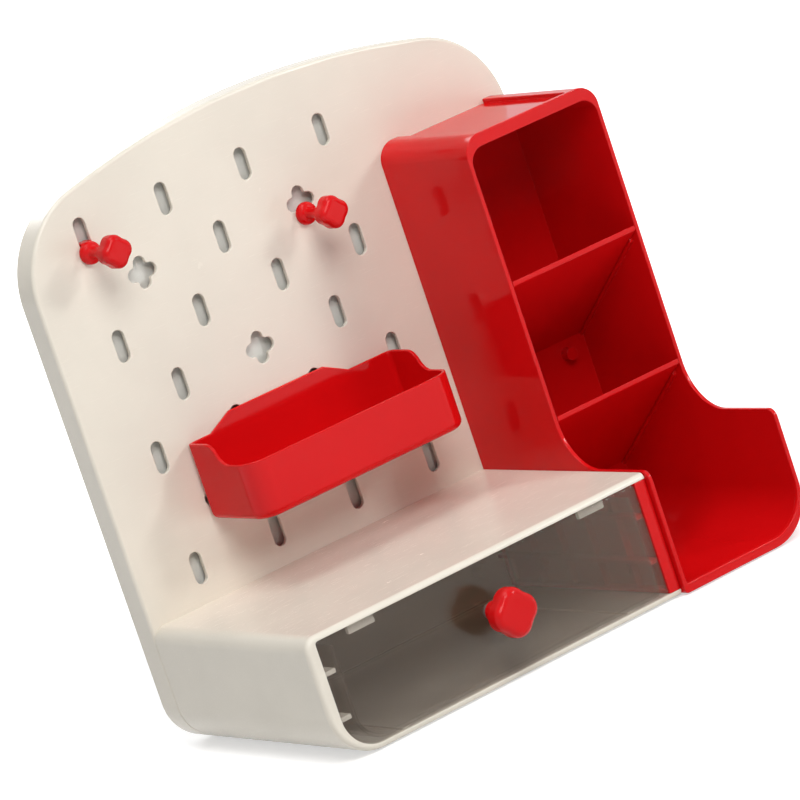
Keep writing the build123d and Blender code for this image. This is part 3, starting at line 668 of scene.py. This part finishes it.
class OrganizerFinish(bpy.types.PropertyGroup):
    """Colours and gloss of the plastics, and the size of the smallest edges."""

    cream: hue("Cream", "Board and cabinet", (0.79, 0.735, 0.635, 1.0))
    red: hue("Red", "Tower, tray, pegs and knob", (0.66, 0.0045, 0.006, 1.0))
    grey: hue("Grey", "Back cover behind the board", (0.76, 0.75, 0.70, 1.0))
    smoke: hue("Smoke", "Clear plastic of the drawer", (0.20, 0.135, 0.085, 0.16))
    cream_roughness: share("Cream roughness", "Roughness of the cream plastic", 0.26)
    red_roughness: share("Red roughness", "Roughness of the red plastic", 0.07)
    arc_step: IntProperty(name="Arc step", description="Degrees in one segment of an arc",
                          default=6, min=2, max=30)


# ---------------------------------------------------------------- pieces
def hole_centres():
    """Plain slots and clover holes of the board, as two lists of X and Z."""
    slots = [(u, v) for u in COLUMNS for v in ROWS]
    clovers = []
    for row in range(len(ROWS) - 1):
        for column in range(len(COLUMNS) - 1):
            place = ((COLUMNS[column] + COLUMNS[column + 1]) / 2, (ROWS[row] + ROWS[row + 1]) / 2)
            (clovers if (row + column) % 2 == 0 else slots).append(place)
    return slots, clovers


def screw_places(node):
    """Places of a group's screws from the box of its CAD node: X and Z, or Y and Z at the dock."""
    screws = bpy.context.scene.organizer_screws
    head = screws.head / 2
    first, last = low(node), high(node)
    if node == "dock_screws":
        return [(y, z) for y in (first.y + head, last.y - head) for z in (first.z + head, last.z - head)]
    heights = getattr(screws, node.replace("_screws", "_rows"))
    columns = (first.x + head, last.x - head)
    places = [(x, z) for x in columns for z in heights]
    if node == "cover_screws":
        places += [(0.0, first.z + head), (0.0, last.z - head)]
    if node == "tower_screws":
        places += [(x, last.z - head) for x in columns]
    return places


def round_bars(obj, places, side, start, end, radius, operation="DIFFERENCE"):
    """Cuts or adds round bars from start to end, along Y for the front plane or X for the side plane."""
    plane = "side" if side else "front"
    profile = [(0.0, start), (radius, start), (radius, end), (0.0, end)]
    bar = lathe("bar", (0, 0, 0), ALONG[plane], profile, 32)
    boolean(obj, copies(bar, [on_plane(plane, 0.0, place) for place in places]), operation)


def round_places(places, side, reach):
    """Test for edges that lie within reach of a place, seen along Y or, at the side, along X."""
    first = 1 if side else 0
    return lambda edge: all(any(math.hypot(v.co[first] - a, v.co.z - b) < reach for a, b in places)
                            for v in edge.verts)


def screw_bosses(obj, node, boss, bore):
    """Adds and drills a boss, each from start to end, for a group of screws; tests edges near them."""
    screws = bpy.context.scene.organizer_screws
    side = node == "dock_screws"
    places = screw_places(node)
    round_bars(obj, places, side, *boss, screws.boss / 2, "UNION")
    round_bars(obj, places, side, *bore, screws.shank / 2 + screws.fit)
    return round_places(places, side, screws.boss * 0.6)


def slot_cutter(sizes):
    """A slot's cutter at the origin, through the plate."""
    outline = upright_slot(0.0, 0.0, sizes.slot_width, sizes.slot_length)
    return prism("cutter", "front", BOARD_FRONT - 0.002, 0.008, outline, 15)


class ORGANIZER_OT_board(bpy.types.Operator):
    """Model the arched board with its holes"""

    bl_idname = "organizer.board"
    bl_label = "Board"

    def execute(self, context):
        sizes = context.scene.organizer_board
        depth = BOARD_BACK - BOARD_FRONT
        board = prism("board", "front", BOARD_BACK, -depth, arched(0.0), 2.5)
        soften(board, ends_at(1, BOARD_FRONT), sizes.front_round, 5)
        cavity = prism("cavity", "front", BOARD_BACK + 0.002, -(depth - sizes.plate) - 0.002,
                       arched(sizes.rim), 2.5)
        boolean(board, cavity)
        slots, clovers = hole_centres()
        boolean(board, copies(slot_cutter(sizes), [(u, 0, v) for u, v in slots]))
        upright = slot_cutter(sizes)
        activate(upright)
        bpy.ops.object.duplicate(linked=False)
        across = bpy.context.object
        across.rotation_euler = (0, math.pi / 2, 0)
        bpy.ops.object.transform_apply(location=True, rotation=True, scale=True)
        clover = boolean(upright, across, "UNION")
        inner = sizes.slot_width / 2 + 0.0002

        def notch(edge):
            upright_edge = abs(edge.verts[0].co.y - edge.verts[1].co.y) > 0.001
            return upright_edge and all(abs(v.co.x) < inner and abs(v.co.z) < inner for v in edge.verts)

        soften(clover, notch, sizes.clover_notch, 5)
        boolean(board, copies(clover, [(u, 0, v) for u, v in clovers]))
        screws = context.scene.organizer_screws
        bore = screws.shank / 2 + screws.fit
        inside = BOARD_FRONT + sizes.plate
        screw_bosses(board, "cover_screws", (inside - ROOT, low("back_cover").y),
                     (low("cover_screws").y - screws.pilot_end, BOARD_BACK))
        places = screw_places("cabinet_screws") + screw_places("tower_screws")
        round_bars(board, places, False, BOARD_FRONT - PAST, inside + PAST, bore)
        finished(board, "pegboard_panel", "frame", "cream_shell", 0.00045, 40,
                 spare=round_places(places, False, bore * 1.2))
        return {"FINISHED"}


class ORGANIZER_OT_cover(bpy.types.Operator):
    """Model the cover on the board's back"""

    bl_idname = "organizer.cover"
    bl_label = "Back Cover"

    def execute(self, context):
        sizes = context.scene.organizer_board
        back = high("back_cover").y
        front = low("back_cover").y
        cover = prism("cover", "front", back, front - back, arched(sizes.rim + GAP), 2.5)
        screws = context.scene.organizer_screws
        places = screw_places("cover_screws")
        seat = high("cover_screws").y - screws.sunk_head
        for start, radius in ((seat, screws.head / 2 + screws.fit * 4),
                              (front - PAST, screws.shank / 2 + screws.fit)):
            round_bars(cover, places, False, start, back + PAST, radius)
        finished(cover, "back_cover", "frame", "grey_back", 0.0003, 40, 2)
        return {"FINISHED"}


class ORGANIZER_OT_cabinet(bpy.types.Operator):
    """Model the cabinet shell round the drawer"""

    bl_idname = "organizer.cabinet"
    bl_label = "Cabinet"

    def execute(self, context):
        sizes = context.scene.organizer_cabinet
        foot = context.scene.organizer_board.foot_corner
        (x0, y0, z0), (x1, y1, z1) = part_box("cabinet_shell")
        outer = rounded(x0, x1, z0, z1, top_left=sizes.top_corner, low_left=foot)
        shell = prism("cabinet", "front", y1, y0 - y1, outer, context.scene.organizer_finish.arc_step)
        edge = ends_at(1, y0)
        soften(shell, lambda e: edge(e) and min(v.co.x for v in e.verts) < x1 - 1e-5,
               sizes.front_round, 5)
        wall = sizes.wall
        lip = y0 + sizes.lip_depth
        inner = rounded(x0 + wall, x1 + 0.002, z0 + wall, z1 - wall,
                        top_left=sizes.top_corner - wall, low_left=foot - wall)
        boolean(shell, prism("hollow", "front", y1 - wall, lip - (y1 - wall), inner, 9))
        mouth = rounded(x0 + sizes.lip_side, x1 + 0.002, z0 + sizes.lip_edge, z1 - sizes.lip_edge,
                        top_left=0.0018, low_left=foot - sizes.lip_side)
        boolean(shell, prism("mouth", "front", lip + PAST, -sizes.lip_depth - 0.006, mouth, 9))
        box_low, box_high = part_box("drawer_box")
        rail_half, rail_rise, rail_insets = 0.002, 0.001, (0.026, -0.020)
        rails = [(x - rail_half, x + rail_half, z0 + wall - GRIP, z0 + wall + rail_rise)
                 for x in (box_low.x + rail_insets[0], box_high.x + rail_insets[1])]
        guides = [(x0 + wall - GRIP, box_low.x - GRIP, z - GUIDE_HALF, z + GUIDE_HALF)
                  for z in GUIDE_ROWS]
        back = y1 - wall + GRIP
        for bar in rails + guides:
            boolean(shell, prism("bar", "front", back, lip - GRIP - back, rectangle(*bar)), "UNION")
        stop_half, stop_reach, stop_thick = 0.008, 0.0014, 0.0026
        stop_y = box_high.y - sizes.drawer_wall - sizes.travel - GAP
        for x in (box_low.x + TAB_INSET, box_high.x - TAB_INSET):
            stop = rectangle(x - stop_half, x + stop_half, box_high.z - stop_reach, z1 - wall + GRIP)
            boolean(shell, prism("stop", "front", stop_y, -stop_thick, stop), "UNION")
        end = low("cabinet_screws").y - context.scene.organizer_screws.pilot_end
        near = screw_bosses(shell, "cabinet_screws", (end - 0.001, y1 - wall + ROOT), (end, y1 + PAST))
        finished(shell, "cabinet_shell", "frame", "cream_shell", 0.00025, spare=near)
        return {"FINISHED"}


class ORGANIZER_OT_end_panel(bpy.types.Operator):
    """Model the red panel between the drawer and the tower"""

    bl_idname = "organizer.end_panel"
    bl_label = "End Panel"

    def execute(self, context):
        (x0, y0, z0), (x1, y1, z1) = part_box("end_panel")
        guide, wall, set_back = 0.0028, 0.0024, 0.0006
        rib_half, rib_count = 0.0008, 4
        x0 = x0 + guide
        panel = prism("panel", "side", x0, x1 - x0, rectangle(y0, y1, z0, z1))
        boolean(panel, prism("hollow", "side", x0 - PAST, x1 - wall - x0 + PAST,
                             rectangle(y0 + wall, y1 - wall, z0 + wall, z1 - wall)))
        length = y1 - y0
        for rib in range(1, rib_count + 1):
            y = y0 + rib * length / (rib_count + 1)
            boolean(panel, prism("rib", "side", x0 + set_back, x1 - wall + GRIP - x0 - set_back, rectangle(
                y - rib_half, y + rib_half, z0 + wall / 2, z1 - wall / 2)), "UNION")
        for z in GUIDE_ROWS:
            boolean(panel, prism("guide", "front", y1, -(length - 0.0034), rectangle(
                x0 - guide, x0 + wall, z - GUIDE_HALF, z + GUIDE_HALF)), "UNION")
        near = screw_bosses(panel, "dock_screws", (x0 + set_back, x1 - wall + ROOT),
                            (low("dock_screws").x - 0.0004, x1 + PAST))
        finished(panel, "end_panel", "frame", "red_shell", 0.0006, spare=near)
        return {"FINISHED"}


class ORGANIZER_OT_tower(bpy.types.Operator):
    """Model the tower shell with its three bays"""

    bl_idname = "organizer.tower"
    bl_label = "Tower"

    def execute(self, context):
        sizes = context.scene.organizer_tower
        foot = context.scene.organizer_board.foot_corner
        step = context.scene.organizer_finish.arc_step
        (x0, y0, z0), (x1, y1, z1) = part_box("tower_shell")
        corner, wall = sizes.corner, sizes.wall
        shell = prism("tower", "front", y1, y0 - y1, rounded(
            x0, x1, z0, z1, top_left=corner, top_right=corner, low_right=foot, low_left=0.002), step)
        front = y1 - sizes.depth
        nose = sizes.base_corner
        profile = (y1 + 0.001, z0 - 0.001), [
            ("line", (y1 + 0.001, z1 + 0.001)),
            ("line", (front, z1 + 0.001)),
            ("line", (front, sizes.base_top + sizes.sweep)),
            ("arc", (front - sizes.sweep, sizes.base_top + sizes.sweep), -90),
            ("line", (y0 + nose, sizes.base_top)),
            ("arc", (y0 + nose, sizes.base_top - nose), 90),
            ("line", (y0, z0 - 0.001)),
            ("line", (y1 + 0.001, z0 - 0.001)),
        ]
        boolean(shell, prism("profile", "side", x0 - 0.001, x1 - x0 + 0.002, profile, 5), "INTERSECT")
        under = z1 - sizes.top_drop - sizes.top_plate
        inner, inner_foot = corner - wall, foot - wall
        hollows = (
            (y1 - sizes.back, front + wall, z0 + wall, under),
            (front + wall + 0.0005, y0 + wall, z0 + wall, z1 - sizes.lip),
            (y0 + wall + 0.0005, y0 - 0.002, z0 + sizes.floor_lip, z1 - sizes.lip),
        )
        for start, end, bottom, top in hollows:
            bay = rounded(x0 + wall, x1 - wall, bottom, top,
                          top_left=inner, top_right=inner, low_right=inner_foot, low_left=0.001)
            boolean(shell, prism("hollow", "front", start, end - start, bay, step))
        recess = prism("recess", "plan", z1 - sizes.top_drop, sizes.top_drop + 0.002, rounded(
            x0 + sizes.top_margin, x1 - sizes.top_margin, front + wall, y1 + 0.002,
            low_left=0.003, low_right=0.003), 10)
        boolean(shell, recess)
        fall = sizes.divider_fall
        ledge_start = 0.006
        drop = 0.0018 * math.sqrt(1 + fall**2)
        for node in ("upper_divider", "lower_divider"):
            (_, front_y, bottom), (_, back_y, _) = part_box(node)
            start_y = front_y + ledge_start
            start_z = bottom + fall * (back_y - start_y)
            outline = polygon((start_y, start_z), (back_y + GRIP, bottom - GRIP * fall),
                              (back_y + GRIP, bottom - drop), (start_y, start_z - drop))
            for left in (x0 + wall - GRIP, x1 - wall - sizes.ledge):
                boolean(shell, prism("ledge", "side", left, sizes.ledge + GRIP, outline), "UNION")
        screws = context.scene.organizer_screws
        bore = screws.shank / 2 + screws.fit
        end = low("tower_screws").y - screws.pilot_end
        near = screw_bosses(shell, "tower_screws", (end - screws.pilot_end, y1 - sizes.back + ROOT),
                            (end, y1 + PAST))
        places = screw_places("dock_screws")
        round_bars(shell, places, True, x0 - PAST, x0 + wall + PAST, bore)
        spared = (ends_at(1, front + wall), ends_at(1, y0 + wall), near,
                  round_places(places, True, bore * 1.2))
        finished(shell, "tower_shell", "frame", "red_shell", 0.0006,
                 spare=lambda e: any(test(e) for test in spared))
        return {"FINISHED"}


class ORGANIZER_OT_dividers(bpy.types.Operator):
    """Model the two slanted dividers of the tower"""

    bl_idname = "organizer.dividers"
    bl_label = "Dividers"

    def execute(self, context):
        for node in ("upper_divider", "lower_divider"):
            (x0, y0, z0), (x1, y1, z1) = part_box(node)
            fall = context.scene.organizer_tower.divider_fall
            thick = context.scene.organizer_tower.divider * math.sqrt(1 + fall**2)
            front = z0 + fall * (y1 - y0)
            plate = prism(node, "side", x0, x1 - x0, polygon(
                (y0, front + thick), (y1, z0 + thick), (y1, z0), (y0, front)))
            finished(plate, node, "frame", "red_shell", 0.00055)
        return {"FINISHED"}


class ORGANIZER_OT_drawer(bpy.types.Operator):
    """Model the smoked drawer: its box and its front"""

    bl_idname = "organizer.drawer"
    bl_label = "Drawer"

    def execute(self, context):
        sizes = context.scene.organizer_cabinet
        foot = context.scene.organizer_board.foot_corner
        (x0, y0, z0), (x1, y1, z1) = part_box("drawer_front")
        low_corner = foot - sizes.lip_side - sizes.drawer_gap
        panel = prism("front", "front", y1, y0 - y1, rounded(
            x0, x1, z0, z1, top_left=0.0015, top_right=0.0015, low_right=0.0015, low_left=low_corner), 6)
        finished(panel, "drawer_front", "drawer", "smoke_clear", 0.0006)
        (x0, y0, z0), (x1, y1, z1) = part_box("drawer_box")
        wall = sizes.drawer_wall
        tab_rise, tab_half = 0.0017, 0.006
        top = z1 - tab_rise
        box = prism("box", "front", y1, y0 - y1, rounded(
            x0, x1, z0, top, low_left=sizes.drawer_corner, low_right=0.0025), 7.5)
        boolean(box, prism("hollow", "front", y1 - wall, y0 - 0.002 - (y1 - wall), rounded(
            x0 + wall, x1 - wall, z0 + wall, top + 0.002,
            low_left=sizes.drawer_corner - wall, low_right=0.001), 7.5))
        for x in (x0 + TAB_INSET, x1 - TAB_INSET):
            boolean(box, prism("tab", "front", y1, -wall, rectangle(
                x - tab_half, x + tab_half, top - 0.001, z1)), "UNION")
        finished(box, "drawer_box", "drawer", "smoke_clear", 0.0004, segments=2)
        return {"FINISHED"}


def pillow_head(name, x, z, back, depth, tip, lobe, soft, rounding):
    """Lobed head that faces the front, with soft front and back edges."""
    head = prism(name, "front", back, -depth, lobed(x, z, tip, lobe, soft), 7.5)
    soften(head, ends_at(1, back - depth), rounding, 7)
    soften(head, ends_at(1, back), rounding * 0.4, 4)
    return head


class ORGANIZER_OT_knob(bpy.types.Operator):
    """Model the drawer's knob"""

    bl_idname = "organizer.knob"
    bl_label = "Knob"

    def execute(self, context):
        tip = context.scene.organizer_hangers.knob_tip
        (x0, y0, z0), (x1, y1, z1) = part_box("drawer_knob")
        x, z = (x0 + x1) / 2, (z0 + z1) / 2
        depth = 0.0095
        knob = pillow_head("knob", x, z, y0 + depth, depth, tip, 0.008, 0.014, 0.004)
        stem = lathe("stem", (x, y1, z), (0, -1, 0), [
            (0.0, 0.0), (0.0052, 0.0), (0.0055, 0.0003), (0.0055, 0.0125), (0.0055, 0.0155), (0.0, 0.0155)])
        boolean(knob, stem, "UNION")
        finished(knob, "drawer_knob", "drawer", "red_shell")
        return {"FINISHED"}


def tongue(x, hole_z, face_y, height):
    """Tongue through a hole, with its lip behind the plate."""
    sizes = bpy.context.scene.organizer_hangers
    board = bpy.context.scene.organizer_board
    bottom = hole_z - board.slot_length / 2 + 0.0004
    plate_back = BOARD_FRONT + board.plate + GAP
    r = sizes.tongue_width / 2

    def outline(low_z):
        top = bottom + height
        if height > 2 * r:
            return upright_slot(x, (low_z + top) / 2, 2 * r, top - low_z)
        return (x - r, low_z + r), [
            ("arc", (x, low_z + r), 180),
            ("line", (x + r, top)),
            ("line", (x - r, top)),
            ("line", (x - r, low_z + r)),
        ]

    neck = prism("neck", "front", face_y, plate_back + 0.001 - face_y, outline(bottom), 15)
    lip = prism("lip", "front", plate_back, 0.0022, outline(bottom - sizes.tongue_drop), 15)
    return boolean(neck, lip, "UNION")


class ORGANIZER_OT_tray(bpy.types.Operator):
    """Model the hanging tray"""

    bl_idname = "organizer.tray"
    bl_label = "Hanging Tray"

    def execute(self, context):
        sizes = context.scene.organizer_hangers
        (x0, y0, z0), (x1, y1, z1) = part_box("hanging_tray")
        y1 = BOARD_FRONT - GAP
        wall, corner = sizes.tray_wall, sizes.tray_corner
        front_top, back_top = z0 + 0.030, z0 + 0.041
        tray = prism("tray", "plan", z0, z1 - z0, rounded(
            x0, x1, y0, y1, top_left=0.004, top_right=0.004, low_right=corner, low_left=corner), 6)
        soften(tray, ends_at(2, z0), sizes.tray_bottom, 6)
        hollow = prism("hollow", "plan", z0 + wall, z1 - z0, rounded(
            x0 + wall, x1 - wall, y0 + wall, y1 - wall, top_left=0.002, top_right=0.002,
            low_right=corner - wall, low_left=corner - wall), 6)
        soften(hollow, ends_at(2, z0 + wall), sizes.tray_bottom - wall, 5)
        boolean(tray, hollow)
        fall_start, fall_end = y1 - 0.017, y1 - 0.034
        run, rise = fall_start - fall_end, back_top - front_top
        bend = 2 * math.atan2(rise, run)
        radius = run / 2 / math.sin(bend)
        cut = (fall_start, back_top), [
            ("line", (y1 - wall, back_top)),
            ("line", (y1 - wall, z1 + 0.002)),
            ("line", (y0 - 0.002, z1 + 0.002)),
            ("line", (y0 - 0.002, front_top)),
            ("line", (fall_end, front_top)),
            ("arc", (fall_end, front_top + radius), math.degrees(bend)),
            ("arc", (fall_start, back_top - radius), -math.degrees(bend)),
        ]
        boolean(tray, prism("cut", "side", x0 - 0.002, x1 - x0 + 0.004, cut, 6))
        rise = z1 - back_top
        hooks = [COLUMNS[1], COLUMNS[2]]
        for end, hump, side in ((x0 - 0.002, hooks[0] - 0.005, -1), (x1 + 0.002, hooks[1] + 0.005, 1)):
            boolean(tray, prism("step", "front", y1 + 0.001, -wall - 0.002, polygon(
                (end, back_top), (hump + side * 2 * rise, back_top), (hump, z1),
                (hump, z1 + 0.002), (end, z1 + 0.002))))
        for x in hooks:
            boolean(tray, tongue(x, ROWS[1], y1 - wall / 2, sizes.tongue_height), "UNION")
        finished(tray, "hanging_tray", "tray", "red_shell", 0.0006, 38)
        return {"FINISHED"}


class ORGANIZER_OT_pegs(bpy.types.Operator):
    """Model the two pegs with their lobed heads"""

    bl_idname = "organizer.pegs"
    bl_label = "Pegs"

    def execute(self, context):
        tip = context.scene.organizer_hangers.peg_tip
        seat = BOARD_FRONT - GAP
        peg_tongue = context.scene.organizer_hangers.peg_tongue
        depth = 0.009
        pegs = (
            ("hook_left", "left_peg", COLUMNS[0], ROWS[3], 0.010),
            ("hook_right", "right_peg", (COLUMNS[2] + COLUMNS[3]) / 2, (ROWS[2] + ROWS[3]) / 2, 0.0064),
        )
        for node, body, x, hole_z, drop in pegs:
            front = low(node).y
            z = hole_z - drop
            length = seat - front
            profile = [(0.0, 0.0), (0.0055, 0.0), (0.006, 0.0006), (0.006, 0.0012)]
            for turn in range(1, 9):
                t = math.radians(90 * turn / 9)
                profile.append((0.0036 + 0.0024 * math.cos(t), 0.0012 + 0.0033 * math.sin(t)))
            profile += [(0.0032, 0.0048), (0.0028, 0.0060), (0.0026, 0.0080),
                        (0.0026, length - depth + 0.001), (0.0, length - depth + 0.001)]
            peg = lathe("peg", (x, seat, z), (0, -1, 0), profile)
            head = pillow_head("head", x, z, front + depth, depth, tip, 0.0052, 0.009, 0.0034)
            boolean(peg, head, "UNION")
            boolean(peg, tongue(x, hole_z, seat - 0.0007, peg_tongue), "UNION")
            finished(peg, node, body, "red_shell")
        return {"FINISHED"}


def pan_screw(name, radius, thick, shank, length):
    """Pan-head screw at the origin, head towards +Y, with a cross recess."""
    screw = lathe(name, (0, 0, 0), (0, 1, 0), [
        (0.0, -length), (shank * 0.7, -length), (shank, -length + shank * 0.5), (shank, 0.0),
        (radius, 0.0), (radius, thick * 0.45), (radius * 0.86, thick * 0.82),
        (radius * 0.6, thick), (0.0, thick)], 24)
    arm = radius * 0.62
    thin = radius * 0.13
    for u, v in ((arm, thin), (thin, arm)):
        boolean(screw, prism("cross", "front", thick * 0.35, thick, rectangle(-u, u, -v, v)))
    return screw


class ORGANIZER_OT_screws(bpy.types.Operator):
    """Model the screws of the cover, cabinet, tower, dock and knob"""

    bl_idname = "organizer.screws"
    bl_label = "Screws"

    def execute(self, context):
        sizes = context.scene.organizer_screws
        head, shank = sizes.head / 2, sizes.shank / 2
        for node in ("cover_screws", "cabinet_screws", "tower_screws"):
            first, last = low(node), high(node)
            thick = sizes.sunk_head if node == "cover_screws" else sizes.head_height
            seat = last.y - thick
            model = pan_screw(node, head, thick, shank, seat - first.y)
            group = copies(model, [(x, seat, z) for x, z in screw_places(node)])
            finished(group, node, "frame", "screw_steel")
        first, last = low("dock_screws"), high("dock_screws")
        seat = last.x - sizes.head_height
        model = pan_screw("dock_screws", head, sizes.head_height, shank, seat - first.x)
        activate(model)
        model.rotation_euler = (0, 0, -math.pi / 2)
        bpy.ops.object.transform_apply(location=True, rotation=True, scale=True)
        group = copies(model, [(seat, y, z) for y, z in screw_places("dock_screws")])
        finished(group, "dock_screws", "frame", "screw_steel")
        first, last = low("knob_screw"), high("knob_screw")
        wide = (last.z - first.z) / 2
        seat = last.y - sizes.knob_head
        model = pan_screw("knob_screw", wide, sizes.knob_head, wide / 2, seat - first.y)
        screw = copies(model, [((first.x + last.x) / 2, seat, first.z + wide)])
        finished(screw, "knob_screw", "drawer", "screw_steel")
        return {"FINISHED"}


class ORGANIZER_OT_feet(bpy.types.Operator):
    """Model the six rubber feet"""

    bl_idname = "organizer.feet"
    bl_label = "Feet"

    def execute(self, context):
        for side in ("left", "middle", "right"):
            for end in ("front", "rear"):
                node = "foot_" + side + "_" + end
                (x0, y0, z0), (x1, y1, z1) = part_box(node)
                r = (x1 - x0) / 2
                profile = [(0.0, 0.0003), (r * 0.55, 0.0003), (r * 0.62, 0.0), (r - 0.0008, 0.0),
                           (r - 0.0002, 0.0003), (r, 0.0008), (r, z1 - z0), (0.0, z1 - z0)]
                foot = lathe("foot", ((x0 + x1) / 2, (y0 + y1) / 2, z0), (0, 0, 1), profile)
                finished(foot, node, "frame", "foot_rubber")
        return {"FINISHED"}


# ---------------------------------------------------------------- stage
CAMERA_PLACE = Vector((-1.3829, -2.3147, 0.6863))
CAMERA_TURN = (30.59, 11.54, -18.66)
LENS = 247.5
AMBIENT = 0.14


def lamp(scene, name, place, aim_z, power, width):
    """A square area lamp that points at a height over the origin."""
    data = bpy.data.lights.new(name, "AREA")
    data.shape = "RECTANGLE"
    data.size = width
    data.size_y = width
    data.energy = power
    made = bpy.data.objects.new(name, data)
    scene.collection.objects.link(made)
    made.location = place
    turn = (Vector((0.0, 0.0, aim_z)) - Vector(place)).to_track_quat("-Z", "Y")
    made.rotation_euler = turn.to_euler()


def seen_directly(sheet):
    """1 for rays from the camera, from mirrors and through clear plastic, 0 for the rest."""
    seen = [sheet.node("ShaderNodeLightPath", output="Is " + kind + " Ray")
            for kind in ("Camera", "Glossy", "Transmission")]
    return sheet.node("ShaderNodeMath", {"operation": "MAXIMUM"}, [
        sheet.node("ShaderNodeMath", {"operation": "MAXIMUM"}, seen[:2]), seen[2]])


def floor_white(name):
    """Matt white that reads as pure white where it is seen, and keeps the object's shadow."""
    sheet = ShaderSheet(name)
    away = sheet.node("ShaderNodeTexCoord", output="Object")
    reach = sheet.vector_sum("LENGTH", away)
    glow = 0.55 + reach.between(0.25, 0.90) * 0.47
    sheet.set(
        Base_Color=(0.78, 0.78, 0.78, 1.0), Roughness=0.95, Specular_IOR_Level=0.0,
        Emission_Color=(1.0, 1.0, 1.0, 1.0), Emission_Strength=glow * seen_directly(sheet),
    )
    return sheet.material


class ORGANIZER_OT_stage(bpy.types.Operator):
    """Set up the floor, the lamps, the world and the camera"""

    bl_idname = "organizer.stage"
    bl_label = "Stage"

    def execute(self, context):
        scene = context.scene
        deselect()
        bpy.ops.mesh.primitive_plane_add(size=24, location=(0, 0, 0))
        floor = bpy.context.object
        floor.name = "floor"
        floor.data.materials.append(floor_white("floor_white"))
        lamp(scene, "front_lamp", (-0.65, -2.1, 2.0), 0.15, 40, 1.3)
        lamp(scene, "top_lamp", (-0.35, -0.3, 2.6), 0.13, 27, 1.4)
        lamp(scene, "right_lamp", (1.7, -1.7, 1.3), 0.15, 5, 0.8)
        lamp(scene, "glint_lamp", (1.5, -1.9, 1.1), 0.15, 13, 0.4)
        lamp(scene, "rear_lamp", (0.4, 2.3, 1.6), 0.15, 24, 1.4)
        world = bpy.data.worlds.new("studio")
        world.use_nodes = True
        scene.world = world
        tree = world.node_tree
        soft = tree.nodes["Background"]
        soft.inputs["Color"].default_value = (1, 1, 1, 1)
        soft.inputs["Strength"].default_value = AMBIENT
        white = tree.nodes.new("ShaderNodeBackground")
        white.inputs["Color"].default_value = (1, 1, 1, 1)
        white.inputs["Strength"].default_value = 1.0
        rays = tree.nodes.new("ShaderNodeLightPath")
        mix = tree.nodes.new("ShaderNodeMixShader")
        factor = rays.outputs["Is Camera Ray"]
        for kind in ("Is Glossy Ray", "Is Transmission Ray"):
            either = tree.nodes.new("ShaderNodeMath")
            either.operation = "MAXIMUM"
            tree.links.new(factor, either.inputs[0])
            tree.links.new(rays.outputs[kind], either.inputs[1])
            factor = either.outputs[0]
        tree.links.new(factor, mix.inputs[0])
        tree.links.new(soft.outputs[0], mix.inputs[1])
        tree.links.new(white.outputs[0], mix.inputs[2])
        tree.links.new(mix.outputs[0], tree.nodes["World Output"].inputs["Surface"])
        camera_data = bpy.data.cameras.new("camera")
        camera_data.lens = LENS
        camera_data.sensor_width = 36
        camera_data.clip_end = 30
        camera = bpy.data.objects.new("camera", camera_data)
        scene.collection.objects.link(camera)
        around, up, roll = (math.radians(a) for a in CAMERA_TURN)
        view = Vector((math.sin(around) * math.cos(up), math.cos(around) * math.cos(up), -math.sin(up)))
        level = Vector((math.cos(around), -math.sin(around), 0))
        down = view.cross(level)
        right = level * math.cos(roll) - down * math.sin(roll)
        below = level * math.sin(roll) + down * math.cos(roll)
        turn = Matrix((right, -below, -view)).transposed().to_4x4()
        camera.matrix_world = Matrix.Translation(CAMERA_PLACE) @ turn
        scene.camera = camera
        scene.view_settings.view_transform = "Standard"
        return {"FINISHED"}


class ORGANIZER_PT_panel(bpy.types.Panel):
    """Sizes, finishes and build steps of the organizer"""

    bl_idname = "ORGANIZER_PT_panel"
    bl_label = "Desk Organizer"
    bl_space_type = "VIEW_3D"
    bl_region_type = "UI"
    bl_category = "Organizer"

    def draw(self, context):
        for group in SETTINGS:
            settings = getattr(context.scene, group)
            box = self.layout.box()
            for key in settings.bl_rna.properties.keys():
                if key not in ("rna_type", "name"):
                    box.prop(settings, key)
        for operator in OPERATORS:
            self.layout.operator(operator.bl_idname)


SETTINGS = {
    "organizer_board": OrganizerBoard,
    "organizer_cabinet": OrganizerCabinet,
    "organizer_tower": OrganizerTower,
    "organizer_hangers": OrganizerHangers,
    "organizer_screws": OrganizerScrews,
    "organizer_finish": OrganizerFinish,
}
OPERATORS = (
    ORGANIZER_OT_board,
    ORGANIZER_OT_cover,
    ORGANIZER_OT_cabinet,
    ORGANIZER_OT_end_panel,
    ORGANIZER_OT_tower,
    ORGANIZER_OT_dividers,
    ORGANIZER_OT_drawer,
    ORGANIZER_OT_knob,
    ORGANIZER_OT_tray,
    ORGANIZER_OT_pegs,
    ORGANIZER_OT_screws,
    ORGANIZER_OT_feet,
    ORGANIZER_OT_stage,
)


def register():
    """Adds the settings, the operators and the panel."""
    for name, group in SETTINGS.items():
        bpy.utils.register_class(group)
        setattr(bpy.types.Scene, name, PointerProperty(type=group))
    for operator in OPERATORS:
        bpy.utils.register_class(operator)
    bpy.utils.register_class(ORGANIZER_PT_panel)


def unregister():
    """Takes them away again."""
    bpy.utils.unregister_class(ORGANIZER_PT_panel)
    for operator in reversed(OPERATORS):
        bpy.utils.unregister_class(operator)
    for name, group in SETTINGS.items():
        delattr(bpy.types.Scene, name)
        bpy.utils.unregister_class(group)


def main():
    """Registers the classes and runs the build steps."""
    register()
    for operator in OPERATORS:
        group, step = operator.bl_idname.split(".")
        getattr(getattr(bpy.ops, group), step)()


if __name__ == "__main__":
    main()
